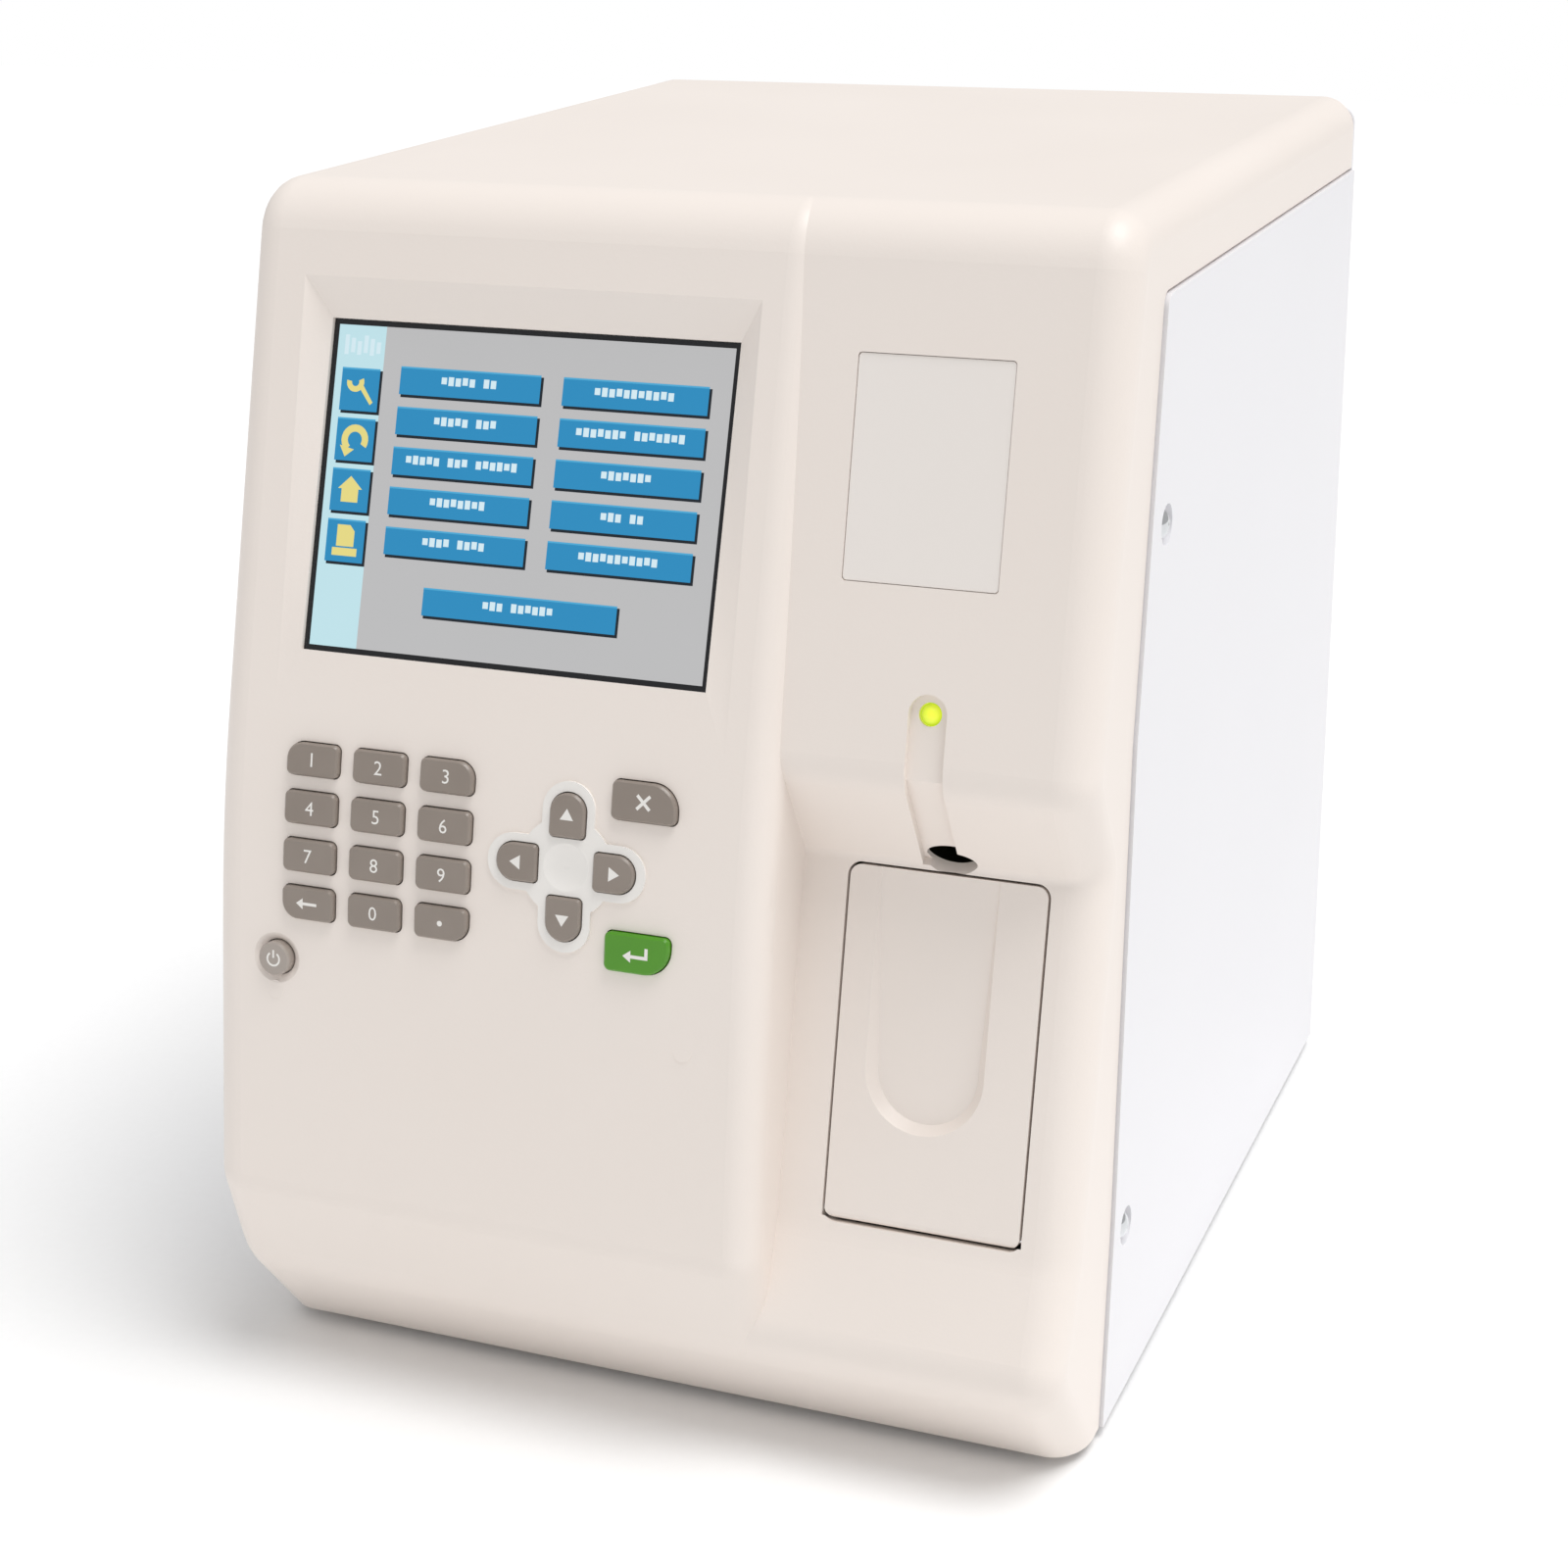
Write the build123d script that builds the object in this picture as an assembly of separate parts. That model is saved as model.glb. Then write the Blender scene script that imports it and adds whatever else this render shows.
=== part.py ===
from build123d import *
import math
import os

# Bench-top hematology analyzer. Millimetres, X to the right, Y to the back, Z up.
# The user looks along +Y at the front. The floor is at Z = 0.

# Overall housing
body_width = 244.0
body_top = 325.0
foot_height = 3.5
housing_rear = 157.5
panel_proud = 1.0
wall = 3.5
rear_plate = 2.0
half_width = body_width / 2
hood_half = half_width - panel_proud
base_z = foot_height

# Front outline of the left column: corner points as (Y, Z) with their rounding
left_top_y = -98.9
left_bend = (-144.5, body_top - 162.6)
left_chin = (-159.4, 60.0)
lean_front = math.degrees(math.atan2(left_top_y - left_bend[0], body_top - left_bend[1]))
lean_lower = math.degrees(math.atan2(left_bend[0] - left_chin[0], left_bend[1] - left_chin[1]))
chin_turn = (-151.1, 31.3)
base_front_y = -128.6
top_front_radius = 16.0
left_bend_radius = 470.0
chin_radius = 12.0
chin_turn_radius = 28.0

# Front outline of the right column, which is set back from the left one
right_top_y = -98.2
right_brow = (-132.0, 189.5)
lean_right = math.degrees(math.atan2(right_top_y - right_brow[0], body_top - right_brow[1]))
door_head = (-116.5, 162.7)
door_foot = (-140.6, 66.0)
right_chin = (-153.2, 38.5)
right_chin_turn = (-148.9, 28.6)
brow_radius = 12.0
door_head_radius = 3.5
door_foot_radius = 25.0
right_chin_radius = 12.0
right_turn_radius = 20.0

# Where the two columns meet, and the rounding of the long edges
right_column_width = 81.0
flank_x = half_width - right_column_width
left_middle = (flank_x - half_width) / 2
overlap_x = 20.0
edge_radius = 10.0
flank_radius = 8.0
inner_edge_radius = 6.5
inner_flank_radius = 4.5

# Side panels
panel_thickness = 2.5
panel_top = body_top - 22.5
panel_gap = 0.8
panel_front = [(-73.6, panel_top), (-92.7, 192.3), (-102.4, 61.1), (-109.5, 3.5)]
panel_lip = 20.0
panel_corner = 4.0
panel_inner = half_width - panel_thickness

# Side panel screws as (Y, Z), dome heads in round seats
side_screw_places = [(-69.5, body_top - 81.3), (-91.1, 55.3)]
side_screw_head = 4.2
side_screw_head_height = 2.1
side_screw_seat_depth = 1.5
side_screw_shank = 2.0
side_screw_length = 8.0
side_screw_seat = 5.4
side_screw_boss = 5.0

# Base pan and feet
pan_thickness = 2.0
pan_front_y = -121.0
pan_step_y = -75.0
pan_flange = 14.0
pan_flange_thickness = 1.5
board_wall_x = 8.0 - half_width
board_wall_thickness = 1.5
board_wall_y = (-62.0, 120.0)
board_wall_top = 260.0
foot_radius = 9.0
foot_tip_radius = 8.0
foot_x = half_width - 27.0
foot_y = (-100.0, 135.0)

# Display: a sloping glass in a flared recess
lcd_x = left_middle + 3.0
lcd_y = -116.7
lcd_z = body_top - 76.3
lcd_lean = 18.6
lcd_view_width = 116.6
lcd_view_height = 87.8
lcd_lip = 1.2
glass_width = 125.0
glass_height = 96.0
glass_thickness = 2.0
module_width = 122.0
module_height = 93.0
module_thickness = 6.0
bezel_block_width = 133.0
bezel_block_height = 104.0
bezel_block_back = 3.0
bezel_block_front = 14.0
recess_half_width = 64.9
recess_top_z = body_top - 23.1
recess_bottom_z = body_top - 133.5
recess_reach = 1.6

# Keys: places as (X, Z) on the front, sizes along the surface
key_first_x = left_middle - 48.9
key_pitch_x = 20.0
key_first_z = body_top - 145.4
key_pitch_z = 12.67
key_width = 15.4
key_height = 8.8
key_corner = 1.7
key_big_corner = 4.6
wide_key_x = left_middle + 47.5
escape_z = body_top - 145.8
enter_z = body_top - 184.2
wide_key_width = 18.0
wide_key_height = 10.2
wide_key_big_corner = 7.0
arrow_x = left_middle + 26.4
arrow_z = body_top - 164.6
arrow_offset = 13.8
arrow_width = 10.0
arrow_length = 11.6
arrow_round = 4.9
arrow_corner = 1.2
standby_x = left_middle - 59.1
standby_z = body_top - 199.7
standby_radius = 4.7
standby_dish_radius = 7.0
standby_dish_depth = 1.3
key_rise = 1.8
key_edge = 0.5
key_gap = 0.3
key_flange = 1.1
key_flange_thickness = 0.8
key_flange_gap = 0.12
key_stem = 4.0
key_stem_length = 2.0
key_travel = 1.0
key_reach = 4.0

# Raised cross around the arrow keys
cross_half = 7.4
cross_reach = 22.4
cross_centre = 13.2
cross_rise = 0.7
cross_sink = 0.9
cross_depth = 4.0
cross_dish_radius = 6.4
cross_dish_depth = 1.1

# Keypad board behind the front wall
board_thickness = 1.6
board_depth = 9.5
keypad_centre_x = left_middle + 0.5
keypad_centre_z = body_top - 165.0
keypad_board_width = 128.0
keypad_board_up = 28.0
keypad_board_down = 48.0
keypad_post_x = 60.0
keypad_post_y = (24.0, -44.0)
keypad_post_radius = 2.5
dome_radius = 2.5
dome_height = 4.0
dome_gap = 0.05

# Middle of the sample door, the needle and the tube
door_x = half_width - 41.7

# Bare plate in a shallow recess on the right column
badge_x = door_x - 7.0
badge_drop = 2.05
badge_width = 40.6
badge_height = 56.0
badge_recess = 1.2
badge_thickness = 0.9
badge_gap = 0.2
badge_corner = 1.0

# Status lamp at the head of a groove
lamp_x = door_x - 2.1
lamp_z = 206.5
lamp_radius = 2.9
lamp_rise = 1.2
lamp_flange_radius = 4.2
lamp_flange = 1.2
lamp_back = 4.0
groove_radius = 5.0
groove_depth = 2.2
groove_length = 27.0
notch_x = door_x + 0.7
notch_z = 164.5
notch_half_width = 7.0
notch_half_height = 3.6
badge_z = (lamp_z + body_top) / 2 - badge_drop

# Sample door, hinged along its lower edge
door_width = 52.8
door_gap = 0.7
door_top_z = 160.6
door_bottom_z = 69.8
door_thickness = 5.0
door_corner = 3.0
scoop_x = door_x - 2.3
scoop_half_width = 16.0
scoop_depth = 3.0
scoop_fade = 0.3
scoop_end_z = 110.0
scoop_taper = 40.0
scoop_soft = 1.5
pin_radius = 1.2
pin_clearance = 0.05
pin_reach = 3.0
door_swing_gap = 0.65
lug_length = 3.6
lug_height = 8.0
lug_depth = 7.0
lug_inset = 1.0

# Sample compartment behind the door
tray_wall = 2.0
tray_half_width = 33.4
tray_floor_z = 64.0
tray_top_z = 158.0
tray_gap = 0.8
needle_y = -88.0
holder_radius = 10.0
holder_bore = 6.8
holder_top = 125.0
holder_bore_floor = 76.0
holder_base = 30.0
holder_base_height = 4.0
holder_slot = 6.0
holder_slot_floor = 84.0
holder_lead_in = 1.5

# Needle lift on its upright plate
plate_y = -40.0
plate_thickness = 2.0
plate_x = (half_width - 102.0, half_width - 6.0)
plate_top = body_top - 25.0
plate_foot = 18.0
plate_hole = (28.0, 20.0)
rod_radius = 3.0
rod_offset = 20.0
rod_y = -62.0
running = 0.05
bracket_half = 30.0
bracket_front_y = -74.0
lower_bracket_z = (184.0, 190.0)
upper_bracket_z = (body_top - 35.0, body_top - 29.0)
screw_radius = 3.0
journal_radius = 2.0
motor_side = 28.0
motor_height = 20.0
motor_chamfer = 3.5
carriage_z = (body_top - 70.0, body_top - 54.0)
carriage_half = 27.0
carriage_front_y = -96.0
carriage_rear_y = -50.0
carriage_notch = 12.0
carriage_chamfer = 2.0
needle_radius = 0.9
needle_tip_z = 168.0
needle_top_z = body_top - 47.0
needle_tip_length = 4.0
rinse_half = 9.0
rinse_front_y = -98.0
rinse_z = (180.0, 192.0)
rinse_bore = 1.8
rinse_port_radius = 2.0
rinse_port_length = 6.0

# Syringe unit behind the plate
syringe_x = (half_width - 67.0, half_width - 17.0)
syringe_y = (-38.0, -8.0)
syringe_z = (60.0, 150.0)
barrel_x = (half_width - 54.0, half_width - 30.0)
barrel_radius = 6.0
barrel_top = 142.0
piston_z = (78.0, 138.0)
piston_rod_radius = 2.5
crossbar_z = (36.0, 42.0)
crossbar_overhang = 10.0
crossbar_inset = 8.0

# Counting chambers and valves behind the plate
cup_x = (half_width - 62.0, half_width - 27.0)
cup_radius = 11.0
cup_wall = 1.8
cup_z = (202.0, 242.0)
cup_flange_x = (half_width - 78.0, half_width - 11.0)
cup_flange_z = (196.0, 250.0)
cup_flange_thickness = 3.0
cup_spout_radius = 2.5
cup_spout_length = 8.0
valve_block_x = (half_width - 78.0, half_width - 10.0)
valve_block_z = (262.0, 280.0)
valve_block_depth = 14.0
valve_count = 4
valve_radius = 7.0
valve_length = 24.0

# Peristaltic pump on the pan
pump_x = (half_width - 62.0, half_width - 18.0)
pump_y = (40.0, 66.0)
pump_top = 56.0
pump_bore = 18.0
pump_bore_depth = 19.0
pump_shaft_radius = 3.0
pump_hub_radius = 7.0
pump_roller_radius = 4.0
pump_roller_ring = 12.0
pump_roller_count = 3
pump_side_gap = 1.0
pump_disc = 2.0
pump_motor_radius = 17.0
pump_motor_length = 32.0

# Electronics
main_board_y = (-58.0, 112.0)
main_board_z = (40.0, 250.0)
standoff_height = 4.5
standoff_radius = 3.0
standoff_inset = 8.0
# Larger components as limits along Y, limits along Z and height
board_parts = [
    ((-40, -10), (180, 210), 2.5), ((10, 40), (150, 180), 3.0), ((-45, -30), (70, 120), 9.0),
    ((60, 100), (60, 75), 11.0), ((55, 85), (200, 225), 4.0), ((-10, 20), (80, 95), 6.0),
]
supply_x = (27.0 - half_width, 107.0 - half_width)
supply_y = (10.0, 128.0)
supply_height = 40.0
supply_slot = 3.0
supply_slot_pitch = 9.0
supply_slot_count = 6
supply_slot_length = 50.0
supply_slot_depth = 1.5

# Fan on the rear panel
fan_x = 62.0 - half_width
fan_z = 220.0
fan_side = 60.0
fan_depth = 25.0
fan_bore = 28.0
fan_sweep = 27.0
fan_hub = 11.0
fan_blades = 7
fan_blade_thickness = 1.6
fan_blade_chord = 13.0
fan_blade_pitch = 40.0
fan_spider = 4.0
fan_arm = 5.0
fan_pin = 2.0
fan_rotor_length = 14.0
fan_rotor_gap = 1.0
grille_slots = 7
grille_slot = 4.0
grille_pitch = 7.4
grille_edge = 2.0

# Rear panel connectors
rear_half = hood_half
rear_bottom = base_z
rear_top = body_top - 3.0
rear_corner = 5.0
inlet_x = 44.0 - half_width
inlet_z = 34.0
inlet_width = 52.0
inlet_height = 30.0
inlet_flange = 3.0
inlet_depth = 24.0
inlet_proud = 2.0
socket_x = inlet_x - 11.0
socket_width = 22.0
socket_height = 16.0
socket_depth = 14.0
blade_width = 1.6
blade_height = 5.0
blade_pitch = 6.5
rocker_x = inlet_x + 15.5
rocker_width = 11.0
rocker_height = 18.0
rocker_depth = 12.0
rocker_pin = 1.0
rocker_pin_seat = 1.5
rocker_pin_reach = 1.0
rocker_gap = 0.4
rocker_back = 3.0
rocker_tip = 8.0
rocker_hollow = 36.0
port_z = 80.0
first_fitting_x = half_width - 72.0
fitting_pitch = 16.0
port_x = (first_fitting_x - 70.0, first_fitting_x - 46.0, first_fitting_x - 22.0)
port_width = 18.0
port_height = 10.0
port_depth = 16.0
port_proud = 1.0
port_shell = 1.0
port_board_drop = 4.0
fitting_x = [first_fitting_x + index * fitting_pitch for index in range(4)]
fitting_z = 80.0
fitting_body = 5.5
fitting_nut = 7.0
fitting_nut_length = 4.0
fitting_inner = 8.0
fitting_reach = 12.0
fitting_bore = 1.8
fitting_barb = 3.4
fitting_neck = 2.6
fitting_barb_count = 3
fitting_barb_step = 0.2
rear_screw_radius = 3.2
rear_screw_height = 1.5
rear_screw_inset = 9.0
rear_screw_shank = 1.5
rear_screw_length = 6.0

pieces = {}


# Helper shapes
def outline(corners):
    """Closed face from corners (a, b, radius), each radius a tangent arc."""
    count = len(corners)
    edges = []
    ends = []
    for index, (a, b, radius) in enumerate(corners):
        here = Vector(a, b)
        if not radius:
            ends.append((here, here))
            continue
        before = Vector(*corners[index - 1][:2])
        after = Vector(*corners[(index + 1) % count][:2])
        back = (before - here).normalized()
        ahead = (after - here).normalized()
        half = math.radians(back.get_angle(ahead)) / 2
        length = radius / math.tan(half)
        start = here + back * length
        stop = here + ahead * length
        middle = here + (back + ahead).normalized() * (radius / math.sin(half) - radius)
        edges.append(ThreePointArc(start, middle, stop))
        ends.append((start, stop))
    for index in range(count):
        edges.append(Line(ends[index][1], ends[(index + 1) % count][0]))
    return make_face(edges)


def rounded_box(width, height, radii):
    """Face of a rectangle with its own radius at each corner, clockwise from top left."""
    x = width / 2
    y = height / 2
    places = [(-x, y), (x, y), (x, -y), (-x, -y)]
    return outline([(a, b, radius) for (a, b), radius in zip(places, radii)])


def block(x_range, y_range, z_range):
    """Box between pairs of limits."""
    size = [high - low for low, high in (x_range, y_range, z_range)]
    centre = [(high + low) / 2 for low, high in (x_range, y_range, z_range)]
    return Pos(*centre) * Box(*size)


def upright(radius, x, y, z_range):
    """Cylinder along Z."""
    low, high = z_range
    return Pos(x, y, (low + high) / 2) * Cylinder(radius, high - low)


def crosswise(radius, x_range, y, z):
    """Cylinder along X."""
    low, high = x_range
    return Pos((low + high) / 2, y, z) * Rot(0, 90, 0) * Cylinder(radius, high - low)


def lengthwise(radius, x, y_range, z):
    """Cylinder along Y."""
    low, high = y_range
    return Pos(x, (low + high) / 2, z) * Rot(90, 0, 0) * Cylinder(radius, high - low)


def side_slab(face, x_range):
    """A (Y, Z) face drawn out along X between two limits."""
    low, high = x_range
    return Pos(low, 0, 0) * extrude(Plane.YZ * face, amount=high - low)


def sunk(frame, face, start, stop):
    """A face drawn out along the normal of a frame, between two heights above it."""
    return frame * Pos(0, 0, start) * extrude(face, amount=stop - start)


def dome_head(radius, height):
    """Round cap that stands on the plane Z = 0."""
    ball = (radius ** 2 + height ** 2) / (2 * height)
    half_angle = math.asin(radius / ball) / 2
    middle = (ball * math.sin(half_angle), height - ball + ball * math.cos(half_angle))
    edges = [Line((0, 0), (radius, 0)), ThreePointArc((radius, 0), middle, (0, height)), Line((0, height), (0, 0))]
    return revolve(Plane.XZ * make_face(edges), Axis.Z)


def long_edges(body, x, rear_y, floor_z):
    """Edges of one side of a housing block, without those of its rear and floor."""
    near = 1e-3
    found = []
    for edge in body.edges():
        corners = edge.vertices()
        on_side = all(abs(v.X - x) < near for v in corners)
        on_rear = all(abs(v.Y - rear_y) < near for v in corners)
        on_floor = all(abs(v.Z - floor_z) < near for v in corners)
        if on_side and not on_rear and not on_floor:
            found.append(edge)
    return found


# Places on the front
def leaning_frame(x, y, z, lean):
    """Frame on a surface that leans back by some degrees, its normal facing the user."""
    angle = math.radians(lean)
    return Plane(origin=(x, y, z), x_dir=(1, 0, 0), z_dir=(0, -math.cos(angle), math.sin(angle)))


def bend_arc():
    """Start, stop and centre of the long arc in the left column's front, as (Y, Z)."""
    upper = math.radians(lean_front)
    lower = math.radians(lean_lower)
    reach = left_bend_radius * math.tan((upper - lower) / 2)
    start = (left_bend[0] + reach * math.sin(upper), left_bend[1] + reach * math.cos(upper))
    centre = (start[0] + left_bend_radius * math.cos(upper), start[1] - left_bend_radius * math.sin(upper))
    stop = (centre[0] - left_bend_radius * math.cos(lower), centre[1] + left_bend_radius * math.sin(lower))
    return start, stop, centre


def bend_drum(grow):
    """Drum whose surface follows the bend of the left column's front."""
    centre = bend_arc()[2]
    return crosswise(left_bend_radius + grow, (-hood_half, hood_half), *centre)


def left_front_frame(x, z):
    """Frame on the curved front of the left column at a height."""
    start, stop, centre = bend_arc()
    if z > start[1]:
        return leaning_frame(x, start[0] + (z - start[1]) * math.tan(math.radians(lean_front)), z, lean_front)
    if z < stop[1]:
        return leaning_frame(x, stop[0] + (z - stop[1]) * math.tan(math.radians(lean_lower)), z, lean_lower)
    angle = math.asin((z - centre[1]) / left_bend_radius)
    y = centre[0] - left_bend_radius * math.cos(angle)
    return leaning_frame(x, y, z, math.degrees(angle))


def right_front_frame(x, z):
    """Frame on the upper front of the right column."""
    y = right_top_y + (z - body_top) * math.tan(math.radians(lean_right))
    return leaning_frame(x, y, z, lean_right)


def door_plane_y(z):
    """Depth of the door's outer face at a height."""
    slope = (door_head[0] - door_foot[0]) / (door_head[1] - door_foot[1])
    return door_foot[0] + (z - door_foot[1]) * slope


door_lean = math.degrees(math.atan2(door_head[0] - door_foot[0], door_head[1] - door_foot[1]))
brow_lean = math.degrees(math.atan2(right_brow[0] - door_head[0], right_brow[1] - door_head[1]))
door_middle_z = (door_top_z + door_bottom_z) / 2
door_length = (door_top_z - door_bottom_z) / math.cos(math.radians(door_lean))
door_frame = leaning_frame(door_x, door_plane_y(door_middle_z), door_middle_z, door_lean)
lcd_frame = leaning_frame(lcd_x, lcd_y, lcd_z, lcd_lean)
keypad_frame = left_front_frame(keypad_centre_x, keypad_centre_z)


# Keys
def key_table():
    """Every key as name, frame and cap face."""
    keys = []
    names = ["1", "2", "3", "4", "5", "6", "7", "8", "9", "delete", "0", "point"]
    small = key_corner
    big = key_big_corner
    corners = {
        "1": (big, small, small, small),
        "3": (small, big, small, small),
        "point": (small, small, big, small),
        "delete": (small, small, small, big),
    }
    for index, name in enumerate(names):
        x = key_first_x + (index % 3) * key_pitch_x
        z = key_first_z - (index // 3) * key_pitch_z
        radii = corners.get(name, (small, small, small, small))
        keys.append(("key_" + name, left_front_frame(x, z), rounded_box(key_width, key_height, radii)))
    escape_face = rounded_box(wide_key_width, wide_key_height, (small, wide_key_big_corner, small, small))
    enter_face = rounded_box(wide_key_width, wide_key_height, (small, small, wide_key_big_corner, small))
    keys.append(("key_escape", left_front_frame(wide_key_x, escape_z), escape_face))
    keys.append(("key_enter", left_front_frame(wide_key_x, enter_z), enter_face))
    arrow_face = rounded_box(arrow_width, arrow_length, (arrow_round, arrow_round, arrow_corner, arrow_corner))
    for name, turn in (("up", 0), ("left", 90), ("down", 180), ("right", 270)):
        angle = math.radians(turn)
        x = arrow_x - arrow_offset * math.sin(angle)
        z = arrow_z + arrow_offset * math.cos(angle) * math.cos(math.radians(lean_front))
        keys.append(("key_" + name, left_front_frame(x, z), Rot(0, 0, turn) * arrow_face))
    keys.append(("key_standby", left_front_frame(standby_x, standby_z), Circle(standby_radius)))
    return keys


def grown(face, amount):
    """A face made wider all round."""
    return offset(face, amount=amount, kind=Kind.ARC)


def key_cap(frame, face):
    """One key: soft-edged cap, retaining flange behind the wall and a stem to its switch."""
    flange_front = -wall - key_flange_gap
    flange_back = flange_front - key_flange_thickness
    cap = extrude(face, amount=key_rise - flange_front)
    cap = Pos(0, 0, flange_front) * cap
    rim = [edge for edge in cap.edges() if abs(edge.center().Z - key_rise) < 1e-6]
    cap = chamfer(rim, key_edge)
    cap += Pos(0, 0, flange_back) * extrude(grown(face, key_flange), amount=key_flange_thickness)
    stem = Box(key_stem, key_stem, key_stem_length)
    cap += Pos(0, 0, flange_back - key_stem_length / 2) * stem
    return frame * cap


key_back = wall + key_flange_gap + key_flange_thickness + key_stem_length


# Housing
def housing_halves(inset):
    """Left and right blocks of the housing, drawn in by an inset."""
    left = outline([
        (housing_rear, body_top, 0),
        (left_top_y, body_top, top_front_radius),
        (*left_bend, left_bend_radius),
        (*left_chin, chin_radius),
        (*chin_turn, chin_turn_radius),
        (base_front_y, base_z, 0),
        (housing_rear, base_z, 0),
    ])
    right = outline([
        (housing_rear, body_top, 0),
        (right_top_y, body_top, top_front_radius),
        (*right_brow, brow_radius),
        (*door_head, door_head_radius),
        (*door_foot, door_foot_radius),
        (*right_chin, right_chin_radius),
        (*right_chin_turn, right_turn_radius),
        (base_front_y, base_z, 0),
        (housing_rear, base_z, 0),
    ])
    outer = edge_radius
    flank = flank_radius
    if inset:
        left = offset(left, amount=-inset, kind=Kind.INTERSECTION)
        right = offset(right, amount=-inset, kind=Kind.INTERSECTION)
        outer = inner_edge_radius
        flank = inner_flank_radius
    side = hood_half - inset
    left_block = side_slab(left, (-side, flank_x - inset))
    right_block = side_slab(right, (overlap_x + inset, side))
    rear = housing_rear - inset
    floor = base_z + inset
    left_block = fillet(long_edges(left_block, -side, rear, floor), outer)
    left_block = fillet(long_edges(left_block, flank_x - inset, rear, floor), flank)
    right_block = fillet(long_edges(right_block, side, rear, floor), outer)
    return left_block, right_block


def panel_face(grow, lip):
    """Side panel outline in (Y, Z), grown by a gap or drawn in by a lip."""
    top = panel_top + grow - lip
    slanted = [(y - grow + lip, min(z, top)) for y, z in panel_front]
    radius = panel_corner
    first = (slanted[0][0], top, radius)
    middle = [(y, z, 0) for y, z in slanted[1:-1]]
    last = (slanted[-1][0], base_z, 0)
    return outline([(housing_rear, top, 0), first, *middle, last, (housing_rear, base_z, 0)])


def recess_cutter():
    """Flared recess from the display opening out through the front."""
    width = lcd_view_width / 2
    height = lcd_view_height / 2
    inner = [lcd_frame.from_local_coords(Vector(x, y, lcd_lip))
             for x, y in ((-width, height), (width, height), (width, -height), (-width, -height))]
    outer = []
    for side, z in ((-1, recess_top_z), (1, recess_top_z), (1, recess_bottom_z), (-1, recess_bottom_z)):
        place = left_front_frame(lcd_x + side * recess_half_width, z).origin
        outer.append(place)
    reach = [near + (far - near) * recess_reach for near, far in zip(inner, outer)]
    floor_face = make_face(Polyline(*inner, close=True))
    mouth_face = make_face(Polyline(*reach, close=True))
    return loft([floor_face, mouth_face], ruled=True)


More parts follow.
